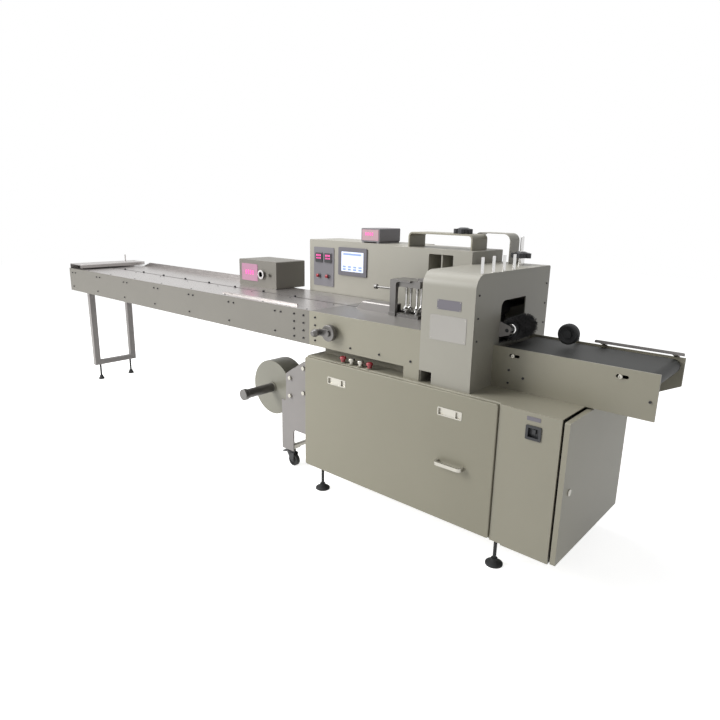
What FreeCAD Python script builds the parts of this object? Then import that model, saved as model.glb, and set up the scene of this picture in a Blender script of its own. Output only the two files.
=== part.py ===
import FreeCAD, Part
import math
import os
from types import SimpleNamespace

import Sketcher
from FreeCAD import Vector

# A horizontal flow wrapper, in millimetres. X runs along the line from the infeed (-X) to the
# discharge (+X), the operator stands at -Y, Z is up, and the floor is z = 0. The origin is at
# the middle of the machine's length and depth.

LEVEL = 1e-6
FULL_TURN = 360
BUTTONS = 4
CENTRE = 3

SIZES = {
    # The line, and the base that carries the wrapping head
    "infeed_reach": 2927,
    "cabinet_length": 1472,
    "discharge_reach": 237,
    "cabinet_depth": 735,
    "cabinet_bottom": 136,
    "cabinet_top": 770,
    "rest_gap": 0.3,
    "running_gap": 0.05,
    # Base cabinet and its front cover
    "cabinet_edge": 14,
    "cover_thickness": 18,
    "cover_corner": 12,
    "cover_edge": 4,
    "cover_margin": 4,
    "latch_length": 128,
    "latch_height": 40,
    "latch_depth": 9,
    "latch_rim": 5,
    "latch_proud": 1.5,
    "latch_paddle": 62,
    "latch_inset": 237,
    "latch_level": 670,
    "grip_length": 146,
    "grip_level": 430,
    "grip_inset": 217,
    "grip_bar": 11,
    "grip_reach": 38,
    "grip_height": 16,
    # Electrical compartment and its end door
    "electric_width": 305,
    "strip_width": 58,
    "strip_set_back": 8,
    "electric_wall": 4,
    "door_thickness": 22,
    "door_gap": 10,
    "door_skin": 3,
    "door_bottom": 140,
    "door_top": 762,
    "door_corner": 6,
    "lock_radius": 11,
    "lock_inset": 65,
    "lock_level": 450,
    "lock_rim": 4,
    "lock_proud": 5,
    "lock_tongue": 34,
    "hinge_pin_radius": 3,
    "hinge_radius": 8,
    "hinge_knuckle": 38,
    "hinge_low": 250,
    "hinge_high": 640,
    "hinge_leaf": 46,
    "hinge_gap": 2,
    "switch_inset": 145,
    "switch_level": 685,
    "switch_width": 67,
    "switch_height": 61,
    "switch_rim": 8,
    "switch_bezel": 4,
    "switch_depth": 70,
    "switch_toggle": 14,
    "rail_plate": 3,
    "rail_margin": 30,
    "device_depth": 95,
    "device_width": 45,
    "device_height": 90,
    "device_pitch": 60,
    "device_count": 9,
    "device_level": 560,
    "drive_depth": 150,
    "drive_width": 120,
    "drive_height": 190,
    "drive_pitch": 170,
    "drive_count": 3,
    "drive_level": 310,
    # Levelling feet
    "foot_radius": 40,
    "foot_rim": 8,
    "foot_cone": 24,
    "foot_stem": 8,
    "foot_nut": 15,
    "foot_left": 92,
    "foot_right": 292,
    "foot_inset": 49,
    "leg_foot_radius": 24,
    # Film reel stand and its castors
    "stand_plate": 8,
    "stand_front": 120,
    "stand_rear": 440,
    "stand_reach": 329,
    "stand_low": 247,
    "stand_high": 420,
    "stand_leg": 100,
    "stand_foot": 106,
    "stand_bend": 20,
    "carrier_reach": 290,
    "carrier_top": 690,
    "carrier_step": 590,
    "carrier_slope": 135,
    "tie_side": 22,
    "tie_inset": 40,
    "tie_edge": 3,
    "roller_radius": 14,
    "roller_neck": 6,
    "roller_cap": 12,
    "reel_reach": 568,
    "reel_level": 415,
    "reel_radius": 177,
    "reel_width": 140,
    "reel_front": 250,
    "core_radius": 38,
    "core_proud": 6,
    "spindle_radius": 29,
    "spindle_tip": 12,
    "spindle_collar": 35,
    "spindle_edge": 3,
    "spindle_collar_length": 26,
    "spindle_flange": 60,
    "spindle_shaft": 15,
    "arm_height": 120,
    "bearing_radius": 34,
    "bearing_length": 26,
    "castor_front": 150,
    "castor_inset": 50,
    "castor_radius": 38,
    "castor_head": 27,
    "castor_cheek_reach": 23,
    "castor_dish": 13,
    "castor_hub": 17,
    "castor_dish_depth": 5,
    "castor_width": 26,
    "castor_trail": 24,
    "castor_stem": 7,
    "castor_axle": 5,
    "castor_cheek": 3,
    "castor_lever": 46,
    "castor_clearance": 3,
    "castor_plate": 7,
}

SIZES |= {
    # Wrapping head: side plates, pedestal and deck
    "head_set_back": 34,
    "line_depth": 582,
    "line_plate": 10,
    "frame_bottom": 827,
    "deck_top": 1012,
    "deck_thickness": 10,
    "deck_slot": 16,
    "line_slot_inset": 291,
    "pedestal_inset": 90,
    "drive_inset": 505,
    "drive_front": 450,
    "drive_back": 762,
    "drive_top": 1352,
    "drive_wall": 5,
    "window_inset": 110,
    "window_width": 150,
    "window_low": 1222,
    "window_high": 1326,
    "window_depth": 120,
    "window_bar": 8,
    # Sealer housing and what stands in it and on it
    "hood_inset": 469,
    "hood_length": 273,
    "hood_top": 1289,
    "hood_sheet": 6,
    "hood_bend": 65,
    "hood_notch": 69,
    "outlet_near": 269,
    "outlet_far": 510,
    "outlet_low": 958,
    "outlet_high": 1157,
    "outlet_bend": 34,
    "jaw_radius": 78,
    "jaw_hub": 44,
    "jaw_shaft": 18,
    "jaw_blade": 30,
    "jaw_near": 230,
    "jaw_far": 545,
    "pin_radius": 7,
    "pin_height": 70,
    "pin_inset": 16,
    "pin_near": 100,
    "pin_pitch": 97,
    "pin_count": 4,
    "post_radius": 9,
    "post_inset": 111,
    "post_place": 650,
    "post_top": 1430,
    "knob_level": 1324,
    "knob_height": 24,
    "knob_cap": 7,
    "knob_radius": 52,
    "knob_lobe": 15,
    "knob_lobes": 5,
    "brush_radius": 58,
    "brush_hub": 36,
    "brush_reach": 39,
    "brush_level": 1027,
    "brush_near": 290,
    "brush_far": 490,
    "brush_shaft": 9,
    "brush_arm": 6,
    # Fin-seal unit, former and hand controls
    "fin_place": 250,
    "fin_inset": 362,
    "fin_base": 190,
    "fin_depth": 130,
    "fin_base_height": 16,
    "fin_top": 1200,
    "fin_upright": 34,
    "fin_bar": 8,
    "fin_shelf": 14,
    "fin_guard": 96,
    "fin_wheel_radius": 32,
    "fin_wheel_height": 14,
    "fin_wheel_rise": 26,
    "fin_wheel_nut": 9,
    "fin_wheel_near": 80,
    "fin_wheel_far": 148,
    "fin_wheel_gap": 3,
    "fin_rod": 6,
    "fin_rod_reach": 110,
    "fin_rod_level": 1150,
    "former_length": 240,
    "former_gap": 8,
    "former_depth": 90,
    "former_height": 48,
    "former_sheet": 4,
    "wheel_inset": 176,
    "wheel_level": 921,
    "wheel_boss": 14,
    "wheel_radius": 43,
    "wheel_thickness": 28,
    "wheel_shaft": 10,
    "wheel_collar": 16,
    "wheel_edge": 3,
    "crank_throw": 52,
    "crank_thickness": 10,
    "crank_end": 18,
    "crank_grip": 50,
    "grip_radius": 22,
    "grip_tip": 13,
    "button_near": 246,
    "button_pitch": 60,
    "button_place": 17,
    "button_radius": 17,
    "button_stem": 11,
    "button_height": 34,
    "button_depth": 30,
    "button_foot": 15,
    "collar_height": 6,
    "button_cap": 14,
    # Discharge conveyor
    "out_near": 223,
    "out_far": 599,
    "out_plate": 8,
    "out_top": 960,
    "out_corner": 130,
    "out_slot": 36,
    "out_slot_radius": 7,
    "out_slot_level": 926,
    "out_slot_near": 88,
    "out_slot_far": 550,
    "belt_roller": 28,
    "belt_thickness": 3,
    "belt_top": 952,
    "belt_shaft": 9,
    "belt_gap": 12,
    "belt_inset": 44,
    "bed_thickness": 4,
    "guide_rail": 6,
    "guide_height": 26,
    "guide_inset": 36,
    "guide_start": 330,
    "press_inset": 215,
    "press_place": 440,
    "press_level": 1018,
    "press_radius": 47,
    "press_hub": 35,
    "press_width": 36,
    "press_axle": 8,
    "press_arm": 10,
    "press_gap": 5,
    "press_bracket": 15,
    # Infeed conveyor
    "leg_inset": 4,
    "leg_thickness": 40,
    "leg_near": 128,
    "leg_span": 384,
    "leg_post": 48,
    "leg_bottom": 138,
    "leg_foot_inset": 50,
    "chain_pitch": 300,
    "chain_count": 9,
    "chain_width": 10,
    "chain_height": 12,
    "chain_sprocket": 46,
    "chain_shaft": 10,
    "lug_length": 14,
    "lug_rise": 10,
    "lug_edge": 3,
    "chain_inset": 90,
    "end_cover_length": 200,
    "end_cover_height": 40,
    "end_cover_lip": 12,
    "end_pin": 5,
    "end_pin_height": 60,
    "guide_strip": 8,
    "guide_strip_height": 12,
    "guide_strip_inset": 60,
    "guide_strip_start": 860,
    "guide_strip_length": 700,
    "control_inset": 744,
    "control_length": 390,
    "control_front": 450,
    "control_depth": 260,
    "control_height": 182,
    "control_edge": 8,
    "control_knob": 18,
    "control_knob_small": 11,
    "control_knob_reach": 16,
    # Control cabinet behind the head, and what is on it
    "box_gap": 23,
    "box_length": 800,
    "box_front": 620,
    "box_depth": 280,
    "box_bottom": 940,
    "box_top": 1348,
    "box_foot": 110,
    "box_foot_inset": 10,
    "screen_inset": 265,
    "screen_width": 235,
    "screen_low": 1138,
    "screen_height": 174,
    "screen_proud": 8,
    "screen_rim": 24,
    "screen_depth": 2,
    "panel_inset": 42,
    "panel_width": 180,
    "panel_low": 1053,
    "panel_height": 249,
    "panel_proud": 4,
    "panel_device": 66,
    "panel_switch": 13,
    "counter_inset": 449,
    "counter_width": 143,
    "counter_height": 80,
    "counter_depth": 200,
    "counter_foot": 7,
    # Knob bridge and rear cover on the drive housing
    "bridge_inset": 100,
    "bridge_length": 400,
    "bridge_front": 500,
    "bridge_depth": 150,
    "bridge_top": 1456,
    "bridge_sheet": 8,
    "bridge_bend": 26,
    "bridge_knob": 300,
    "top_inset": 118,
    "top_length": 213,
    "top_front": 655,
    "top_depth": 100,
    "top_height": 1440,
    "top_bend": 40,
}


class Size:
    """A length that carries both its number and the spreadsheet formula that gives it."""

    def __init__(self, value, formula):
        self.value = value
        self.formula = formula

    def __add__(self, other):
        other = size(other)
        return Size(self.value + other.value, f"({self.formula} + {other.formula})")

    def __sub__(self, other):
        other = size(other)
        return Size(self.value - other.value, f"({self.formula} - {other.formula})")

    def __rsub__(self, other):
        return size(other) - self

    def __mul__(self, other):
        other = size(other)
        return Size(self.value * other.value, f"({self.formula} * {other.formula})")

    def __truediv__(self, other):
        other = size(other)
        return Size(self.value / other.value, f"({self.formula} / {other.formula})")

    def __neg__(self):
        return Size(-self.value, f"(0 - {self.formula})")

    __radd__ = __add__
    __rmul__ = __mul__


def size(length):
    """The length as a Size, whether it is one already or a plain number."""
    return length if isinstance(length, Size) else Size(float(length), f"({length})")


def root(length):
    return Size(math.sqrt(length.value), f"sqrt({length.formula})")


def fill_sheet(lengths):
    """Writes each driving dimension into its own named cell and returns them as Size values."""
    for row, (name, value) in enumerate(lengths.items(), start=1):
        sheet.set(f"A{row}", name.replace("_", " "))
        sheet.set(f"B{row}", str(value))
        sheet.setAlias(f"B{row}", name)
    return SimpleNamespace(**{name: Size(float(value), "Sizes." + name) for name, value in lengths.items()})


document = FreeCAD.newDocument("FlowWrapper")
sheet = document.addObject("Spreadsheet::Sheet", "Sizes")
s = fill_sheet(SIZES)
document.recompute()


def bind(item, prop, length):
    item.setExpression(prop, size(length).formula)


# Each plane's own origin plane, and whether its normal points along the positive axis.
PLANES = {"xy": ("XY_Plane", 1), "xz": ("XZ_Plane", -1), "yz": ("YZ_Plane", 1)}


def new_body(label):
    """A body that may hold several like solids that don't touch."""
    body = document.addObject("PartDesign::Body", label)
    body.Label = label
    body.AllowCompound = True
    return body


def place_point(drawing, element, end, u, v):
    """Holds one point of a drawing at a distance from both of the drawing's axes."""
    for kind, length in (("DistanceX", size(u)), ("DistanceY", size(v))):
        index = drawing.addConstraint(Sketcher.Constraint(kind, element, end, length.value))
        drawing.setExpression(f"Constraints[{index}]", length.formula)


def hold_radius(drawing, element, radius):
    index = drawing.addConstraint(Sketcher.Constraint("Radius", element, radius.value))
    drawing.setExpression(f"Constraints[{index}]", radius.formula)


def unit(start, end):
    """The direction from one corner to another, plain where the edge runs along an axis."""
    across, up = size(end[0]) - start[0], size(end[1]) - start[1]
    if abs(up.value) < LEVEL:
        return size(math.copysign(1, across.value)), size(0)
    if abs(across.value) < LEVEL:
        return size(0), size(math.copysign(1, up.value))
    span = root(across * across + up * up)
    return across / span, up / span


def rounded_corner(before, corner, after):
    """The start, end, centre and direction of the arc that rounds a corner."""
    u, v, radius = corner
    back_u, back_v = unit(corner, before)
    on_u, on_v = unit(corner, after)
    cosine = back_u * on_u + back_v * on_v
    reach = radius if abs(cosine.value) < LEVEL else radius * root((1 + cosine) / (1 - cosine))
    start = (u + reach * back_u, v + reach * back_v)
    end = (u + reach * on_u, v + reach * on_v)
    side = back_u.value * on_v.value - back_v.value * on_u.value
    inward = math.copysign(radius.value, side)
    centre = Vector(start[0].value - inward * back_v.value, start[1].value + inward * back_u.value, 0)
    return start, end, centre, side < 0


def draw_arc(drawing, start, end, centre, radius, turns_left):
    """An arc from start to end; returns its index and which of its ends come first and last."""
    first, last = (start, end) if turns_left else (end, start)
    angles = [math.atan2(p[1].value - centre.y, p[0].value - centre.x) for p in (first, last)]
    angles[1] += 2 * math.pi if angles[1] < angles[0] else 0
    whole = Part.Circle(centre, Vector(0, 0, 1), radius.value)
    index = drawing.addGeometry(Part.ArcOfCircle(whole, angles[0], angles[1]), False)
    return index, (1, 2) if turns_left else (2, 1)


def draw_line(drawing, start, end):
    ends = [Vector(point[0].value, point[1].value, 0) for point in (start, end)]
    return drawing.addGeometry(Part.LineSegment(*ends), False), (1, 2)


def outline(*corners):
    """A closed outline through corners; a corner's third value is the radius that rounds it."""
    corners = [tuple(size(value) for value in corner) for corner in corners]

    def draw(drawing):
        knots = []
        for here, corner in enumerate(corners):
            after = corners[(here + 1) % len(corners)]
            rounded = len(corner) == 3
            knots.append(rounded_corner(corners[here - 1], corner, after) if rounded
                         else (corner, corner, None, None))
        pieces = []
        for here, (start, end, centre, turns_left) in enumerate(knots):
            if centre is not None:
                arc = draw_arc(drawing, start, end, centre, corners[here][2], turns_left)
                hold_radius(drawing, arc[0], corners[here][2])
                pieces.append((*arc, start))
            after = knots[(here + 1) % len(knots)][0]
            pieces.append((*draw_line(drawing, end, after), end))
        close_up(drawing, pieces)

    return draw


def close_up(drawing, pieces):
    """Places each piece's first point and joins its last one to the next piece."""
    for here, (index, ends, start) in enumerate(pieces):
        place_point(drawing, index, ends[0], *start)
        next_index, next_ends, _ = pieces[(here + 1) % len(pieces)]
        joint = Sketcher.Constraint("Coincident", index, ends[1], next_index, next_ends[0])
        drawing.addConstraint(joint)


def rectangle(u, v, radius=None):
    """A rectangle from (low, high) pairs, with its corners rounded where a radius is given."""
    corners = [(u[0], v[0]), (u[1], v[0]), (u[1], v[1]), (u[0], v[1])]
    return outline(*[corner if radius is None else (*corner, radius) for corner in corners])


def circle(u, v, radius):
    def draw(drawing):
        whole = Part.Circle(Vector(size(u).value, size(v).value, 0), Vector(0, 0, 1), size(radius).value)
        index = drawing.addGeometry(whole, False)
        place_point(drawing, index, CENTRE, u, v)
        hold_radius(drawing, index, size(radius))

    return draw


def slot(u, v, radius):
    """A level slot with round ends, whose arcs are centred on the two ends of u."""

    def draw(drawing):
        low, high, under, over = size(u[0]), size(u[1]), v - radius, v + radius
        centres = [Vector(end.value, size(v).value, 0) for end in (high, low)]
        ring_of = [(high, under), (high, over), (low, over), (low, under)]
        pieces = [
            (*draw_arc(drawing, ring_of[0], ring_of[1], centres[0], radius, True), ring_of[0]),
            (*draw_line(drawing, ring_of[1], ring_of[2]), ring_of[1]),
            (*draw_arc(drawing, ring_of[2], ring_of[3], centres[1], radius, True), ring_of[2]),
            (*draw_line(drawing, ring_of[3], ring_of[0]), ring_of[3]),
        ]
        close_up(drawing, pieces)
        for (index, _, _), end in zip(pieces[::2], (high, low)):
            held = drawing.addConstraint(Sketcher.Constraint("DistanceX", index, CENTRE, end.value))
            drawing.setExpression(f"Constraints[{held}]", end.formula)

    return draw


def draw_on(body, plane, offset, outlines):
    """A sketch on one of the body's origin planes, moved by an offset in the plane's own axes."""
    drawing = body.newObject("Sketcher::SketchObject", body.Name + "Sketch")
    plane_item = next(item for item in body.Origin.OriginFeatures if item.Role == PLANES[plane][0])
    drawing.AttachmentSupport = [(plane_item, "")]
    drawing.MapMode = "FlatFace"
    for axis, length in zip("xyz", offset):
        bind(drawing, "AttachmentOffset.Base." + axis, length)
    for draw in outlines:
        draw(drawing)
    return drawing


def pad(body, plane, low, high, *outlines):
    """Material between two places along the plane's normal."""
    sign = PLANES[plane][1]
    feature = body.newObject("PartDesign::Pad", body.Name + "Pad")
    feature.Profile = draw_on(body, plane, (0, 0, sign * size(low)), outlines)
    feature.Reversed = sign < 0
    bind(feature, "Length", size(high) - low)
    body.Tip = feature
    return feature


def cut(body, plane, low, high, *outlines):
    """A pocket between two places along the plane's normal."""
    sign = PLANES[plane][1]
    feature = body.newObject("PartDesign::Pocket", body.Name + "Pocket")
    feature.Profile = draw_on(body, plane, (0, 0, size(high) if sign > 0 else -size(low)), outlines)
    bind(feature, "Length", size(high) - low)
    body.Tip = feature
    return feature


# For a turned piece: the drawing plane, the sketch axis it turns about, and how a centre
# (x, y, z) becomes the drawing's offset.
TURNING = {
    "x": ("xy", "H_Axis", lambda x, y, z: (x, y, z)),
    "y": ("xy", "V_Axis", lambda x, y, z: (x, y, z)),
    "z": ("xz", "V_Axis", lambda x, y, z: (x, z, -size(y))),
}


def turn(body, kind, axis, centre, profile):
    plane, line, shift = TURNING[axis]
    if axis == "x":
        profile = [(corner[1], corner[0], *corner[2:]) for corner in profile]
    feature = body.newObject(kind, body.Name + "Turn")
    feature.Profile = draw_on(body, plane, shift(*centre), [outline(*profile)])
    feature.ReferenceAxis = (feature.Profile[0], [line])
    feature.Angle = FULL_TURN
    body.Tip = feature
    return feature


def turned(body, axis, centre, *profile):
    """Material turned about an axis through centre; the profile is (radius, along) corners."""
    return turn(body, "PartDesign::Revolution", axis, centre, profile)


def drum(radius, start, end):
    """The profile of a plain disc or shaft."""
    return (0, start), (radius, start), (radius, end), (0, end)


def ring(inner, outer, start, end):
    """The profile of a disc with a hole."""
    return (inner, start), (outer, start), (outer, end), (inner, end)


def repeat_along(body, feature, line, length, count):
    """Repeats a feature in a row along an axis of its own sketch."""
    pattern = body.newObject("PartDesign::LinearPattern", body.Name + "Row")
    pattern.Originals = [feature]
    pattern.Direction = (feature.Profile[0], [line])
    bind(pattern, "Length", length)
    bind(pattern, "Occurrences", count)
    body.Tip = pattern
    return pattern


def round_edges(body, radius, chosen):
    """Rounds the edges that chosen picks by their bounding boxes."""
    document.recompute()
    tip = body.Tip
    names = [f"Edge{i}" for i, edge in enumerate(tip.Shape.Edges, start=1) if chosen(edge.BoundBox)]
    feature = body.newObject("PartDesign::Fillet", body.Name + "Fillet")
    feature.Base = (tip, names)
    bind(feature, "Radius", radius)
    body.Tip = feature
    return feature


def lies_at(low, high, place):
    """Whether a span is flat and lies at a place."""
    return abs(low - place.value) < LEVEL and abs(high - place.value) < LEVEL


# Stations along the line, across it and up
left_end = -(s.infeed_reach + s.cabinet_length + s.discharge_reach) / 2
cabinet_left = left_end + s.infeed_reach
cabinet_right = cabinet_left + s.cabinet_length
right_end = cabinet_right + s.discharge_reach
crank_reach = s.wheel_boss + s.rest_gap + s.wheel_thickness + s.crank_thickness + s.rest_gap + s.crank_grip
front = (crank_reach - s.head_set_back - s.box_front - s.box_depth) / 2
back = front + s.cabinet_depth
cover_right = cabinet_right - s.electric_width
electric_right = cabinet_right - s.door_thickness - s.door_gap
door_inside = cabinet_right - s.door_thickness


button_y = front + s.cover_thickness + s.button_place + s.cover_margin


def button_place(index):
    return cabinet_left + s.button_near + s.button_pitch * index


def base_cabinet():
    """The closed base under the head, its top front edge bent round, with a collar for each button."""
    body = new_body("base_cabinet")
    face = front + s.cover_thickness
    pad(body, "yz", cabinet_left, cover_right, outline(
        (face, s.cabinet_bottom), (back, s.cabinet_bottom),
        (back, s.cabinet_top), (face, s.cabinet_top, s.cabinet_edge)))
    places = [(button_place(index), button_y) for index in range(BUTTONS)]
    collar_top = s.cabinet_top + s.collar_height
    pad(body, "xy", s.cabinet_top - s.cabinet_edge, collar_top,
        *[circle(x, y, s.button_radius) for x, y in places])
    cut(body, "xy", s.cabinet_top - s.button_depth, collar_top,
        *[circle(x, y, s.button_stem + s.running_gap) for x, y in places])


def latch_places():
    return cabinet_left + s.latch_inset, cover_right - s.latch_inset


def latch_outline(x, margin, radius):
    """One latch's outline, held a margin inside its recess."""
    half_length, half_height = s.latch_length / 2 - margin, s.latch_height / 2 - margin
    return rectangle((x - half_length, x + half_length),
                     (s.latch_level - half_height, s.latch_level + half_height), radius)


def front_cover():
    """The lift-off front cover, with rounded edges and a recess for each latch."""
    body = new_body("front_cover")
    x = (cabinet_left, cover_right - s.cover_margin)
    z = (s.cabinet_bottom + s.cover_margin, s.cabinet_top - s.cover_margin)
    face = front + s.cover_thickness
    pad(body, "xz", front, face, rectangle(x, z, s.cover_corner))
    round_edges(body, s.cover_edge, lambda edge: lies_at(edge.YMin, edge.YMax, front))
    recesses = [latch_outline(place, size(0), s.latch_rim) for place in latch_places()]
    cut(body, "xz", front, front + s.latch_depth, *recesses)


def cover_fittings():
    """The cover's two flush latches, each a cup with a paddle, and its bridge handle."""
    body = new_body("cover_fittings")
    floor = front + s.latch_depth
    proud = front - s.latch_proud
    pad(body, "xz", proud, floor, *[latch_outline(x, s.rest_gap, s.latch_rim) for x in latch_places()])
    inside = s.rest_gap + s.latch_rim
    cups = [latch_outline(x, inside, s.latch_proud) for x in latch_places()]
    cut(body, "xz", proud, floor - s.latch_proud, *cups)
    half_height = s.latch_height / 2 - inside - s.rest_gap
    z = (s.latch_level - half_height, s.latch_level + half_height)
    paddles = [rectangle((x - s.latch_paddle / 2, x + s.latch_paddle / 2), z, s.latch_proud)
               for x in latch_places()]
    pad(body, "xz", front, floor, *paddles)
    add_cover_handle(body)


def add_cover_handle(body):
    """The bridge handle that the cover is lifted off by."""
    middle = cover_right - s.grip_inset
    low, high = middle - s.grip_length / 2, middle + s.grip_length / 2
    far, near = front - s.grip_reach, front - s.grip_reach + s.grip_bar
    pad(body, "xy", s.grip_level - s.grip_height / 2, s.grip_level + s.grip_height / 2, outline(
        (low, front), (low, far, s.grip_bar * 2), (high, far, s.grip_bar * 2), (high, front),
        (high - s.grip_bar, front), (high - s.grip_bar, near, s.grip_bar),
        (low + s.grip_bar, near, s.grip_bar), (low + s.grip_bar, front)))


def electrical_cabinet():
    """The compartment at the base's right: a box open to its end door, with a stepped front."""
    body = new_body("electrical_cabinet")
    step = cover_right + s.strip_width
    pad(body, "xy", s.cabinet_bottom, s.cabinet_top, outline(
        (cover_right, front + s.strip_set_back), (step, front + s.strip_set_back), (step, front),
        (electric_right, front), (electric_right, back), (cover_right, back)))
    wall = s.electric_wall
    y, z = compartment(wall)
    cut(body, "yz", cover_right + wall, electric_right, rectangle(y, z))
    x, window = switch_place(s.switch_rim - s.rest_gap)
    cut(body, "xz", front, front + s.strip_set_back + wall, rectangle(x, window))


def compartment(margin):
    """How far the electrical compartment's inside runs, back and up, less a margin."""
    return ((front + s.strip_set_back + margin, back - margin),
            (s.cabinet_bottom + margin, s.cabinet_top - margin))


def switch_place(margin):
    """The main switch's place across and up, less a margin."""
    x, half_width = cabinet_right - s.switch_inset, s.switch_width / 2 - margin
    half_height = s.switch_height / 2 - margin
    return ((x - half_width, x + half_width),
            (s.switch_level - half_height, s.switch_level + half_height))


def main_switch():
    """The main breaker: its bezel on the panel, and its block and toggle behind the opening."""
    body = new_body("main_switch")
    inner = front + s.strip_set_back + s.electric_wall
    pad(body, "xz", front - s.switch_bezel, front, rectangle(*switch_place(size(0)), s.switch_bezel))
    pad(body, "xz", front, inner + s.switch_depth, rectangle(*switch_place(s.switch_rim)))
    cut(body, "xz", front - s.switch_bezel, inner, rectangle(*switch_place(s.switch_rim + s.rail_plate)))
    x = cabinet_right - s.switch_inset
    half = s.switch_toggle / 2
    pad(body, "xz", front + s.switch_bezel, inner, rectangle(
        (x - half, x + half), (s.switch_level - half, s.switch_level + s.switch_toggle),
        s.switch_bezel / 2))


def electrical_devices():
    """The mounting plate on the compartment's wall, with its rows of relays and drives."""
    body = new_body("electrical_devices")
    wall = cover_right + s.electric_wall
    y, z = compartment(s.electric_wall + s.rail_margin)
    face = wall + s.rail_plate
    pad(body, "yz", wall, face, rectangle(y, z, s.rail_margin / 2))
    start = y[0] + s.rail_margin
    rows = (("device", s.device_width, s.device_height, s.device_pitch, s.device_count, s.device_level),
            ("drive", s.drive_width, s.drive_height, s.drive_pitch, s.drive_count, s.drive_level))
    for name, width, height, pitch, count, low in rows:
        depth = s.device_depth if name == "device" else s.drive_depth
        block = pad(body, "yz", face, face + depth, rectangle(
            (start, start + width), (low, low + height), s.rail_plate * 2))
        repeat_along(body, block, "H_Axis", pitch * (count - 1), count)


def end_door():
    """The compartment's end door: a pan of bent sheet, with a hole for its lock."""
    body = new_body("end_door")
    y, z = (front, back), (s.door_bottom, s.door_top)
    skin = s.door_skin
    pad(body, "yz", door_inside, cabinet_right, rectangle(y, z, s.door_corner))
    cut(body, "yz", door_inside, cabinet_right - skin, rectangle(
        (y[0] + skin, y[1] - skin), (z[0] + skin, z[1] - skin), s.door_corner - skin))
    cut(body, "yz", cabinet_right - skin, cabinet_right, circle(
        front + s.lock_inset, s.lock_level, s.lock_radius + s.rest_gap))


def door_lock():
    """The door's quarter-turn lock: its rim, barrel and the tongue behind the skin."""
    body = new_body("door_lock")
    rim = s.lock_radius + s.lock_rim
    inside = -s.door_thickness + s.door_skin
    turned(body, "x", (cabinet_right, front + s.lock_inset, s.lock_level),
           (0, inside), (s.lock_radius, inside), (s.lock_radius, 0), (rim, 0),
           (rim, s.lock_proud, s.lock_rim / 2), (0, s.lock_proud))
    tongue = s.lock_level - s.lock_radius, s.lock_level + s.lock_radius
    pad(body, "yz", cabinet_right + inside, cabinet_right + inside + s.door_skin, rectangle(
        (front + s.lock_inset - s.lock_radius, front + s.lock_inset + s.lock_tongue), tongue, s.lock_rim))


hinge_axis = (cabinet_right - s.door_thickness / 2, back + s.hinge_gap + s.hinge_radius)


def hinge_levels():
    return s.hinge_low, s.hinge_high


def hinge_pins():
    """The base's halves of the door's two hinges: a leaf, a knuckle and the pin it carries."""
    body = new_body("hinge_pins")
    x, y = hinge_axis
    for low in hinge_levels():
        pad(body, "xy", low, low + s.hinge_knuckle, outline(
            (electric_right - s.hinge_leaf, back), (electric_right, back),
            (electric_right, back + s.hinge_gap), (x, back + s.hinge_gap), (x, y),
            (electric_right - s.hinge_leaf, back + s.door_skin)))
        turned(body, "z", (x, y, low), (0, 0), (s.hinge_radius, 0),
               (s.hinge_radius, s.hinge_knuckle), (s.hinge_pin_radius, s.hinge_knuckle),
               (s.hinge_pin_radius, s.hinge_knuckle * 2), (0, s.hinge_knuckle * 2))


def hinge_knuckles():
    """The door's halves of its hinges, which drop over the pins."""
    body = new_body("hinge_knuckles")
    x, y = hinge_axis
    bore = s.hinge_pin_radius + s.running_gap
    for low in hinge_levels():
        start = low + s.hinge_knuckle + s.rest_gap
        end = low + s.hinge_knuckle * 2
        pad(body, "xy", start, end, rectangle((x - s.hinge_radius, x + s.hinge_radius), (back, y)))
        pad(body, "xy", start, end, circle(x, y, s.hinge_radius))
        cut(body, "xy", start, end, circle(x, y, bore))


def foot_profile(radius, top):
    """A levelling foot's profile: rubber pad, cone, lock nut and threaded stem."""
    return ((0, 0), (radius, 0), (radius, s.foot_rim, s.foot_rim / 2), (s.foot_nut, s.foot_cone),
            (s.foot_nut, s.foot_cone + s.foot_rim), (s.foot_stem, s.foot_cone + s.foot_rim),
            (s.foot_stem, top), (0, top))


def levelling_feet():
    """Four feet under the base and two under the infeed's leg frame."""
    body = new_body("levelling_feet")
    for x in (cabinet_left + s.foot_left, cabinet_right - s.foot_right):
        for y in (front + s.foot_inset, back - s.foot_inset):
            turned(body, "z", (x, y, 0), *foot_profile(s.foot_radius, s.cabinet_bottom))
    for y in leg_foot_places():
        turned(body, "z", (leg_x[0] + s.leg_thickness / 2, y, 0),
               *foot_profile(s.leg_foot_radius, s.leg_bottom))


# The film reel's stand, on the base's left side
stand_left = cabinet_left - s.stand_reach
stand_front = front + s.stand_front
stand_rear = front + s.stand_rear
reel_x = cabinet_left - s.reel_reach
castor_x = stand_left + s.castor_inset
castor_places = (front + s.castor_front, stand_rear - s.castor_front + s.stand_front)
guide_places = (
    (cabinet_left - s.carrier_reach + s.tie_inset, s.stand_high + s.tie_inset),
    (cabinet_left - s.carrier_reach + s.tie_inset, s.carrier_step - s.tie_inset / 2),
    (cabinet_left - s.carrier_slope, s.carrier_top - s.tie_inset),
    (cabinet_left - s.carrier_slope, s.stand_high + s.tie_inset * 2),
)
tie_places = (
    (stand_left + s.stand_leg - s.tie_side, s.stand_foot + s.tie_side),
    (cabinet_left - s.tie_inset, s.stand_high - s.tie_inset),
)


def stand_foot_corners():
    """The corners of a stand plate's leg, up to where it meets the base's side."""
    leg = stand_left + s.stand_leg
    return ((stand_left, s.stand_foot), (leg, s.stand_foot), (leg, s.stand_low, s.stand_bend),
            (cabinet_left, s.stand_low))


def front_stand_outline():
    """The front plate: a leg, and an arm that reaches the base's side."""
    return outline(*stand_foot_corners(), (cabinet_left, s.stand_high), (stand_left, s.stand_high))


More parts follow.
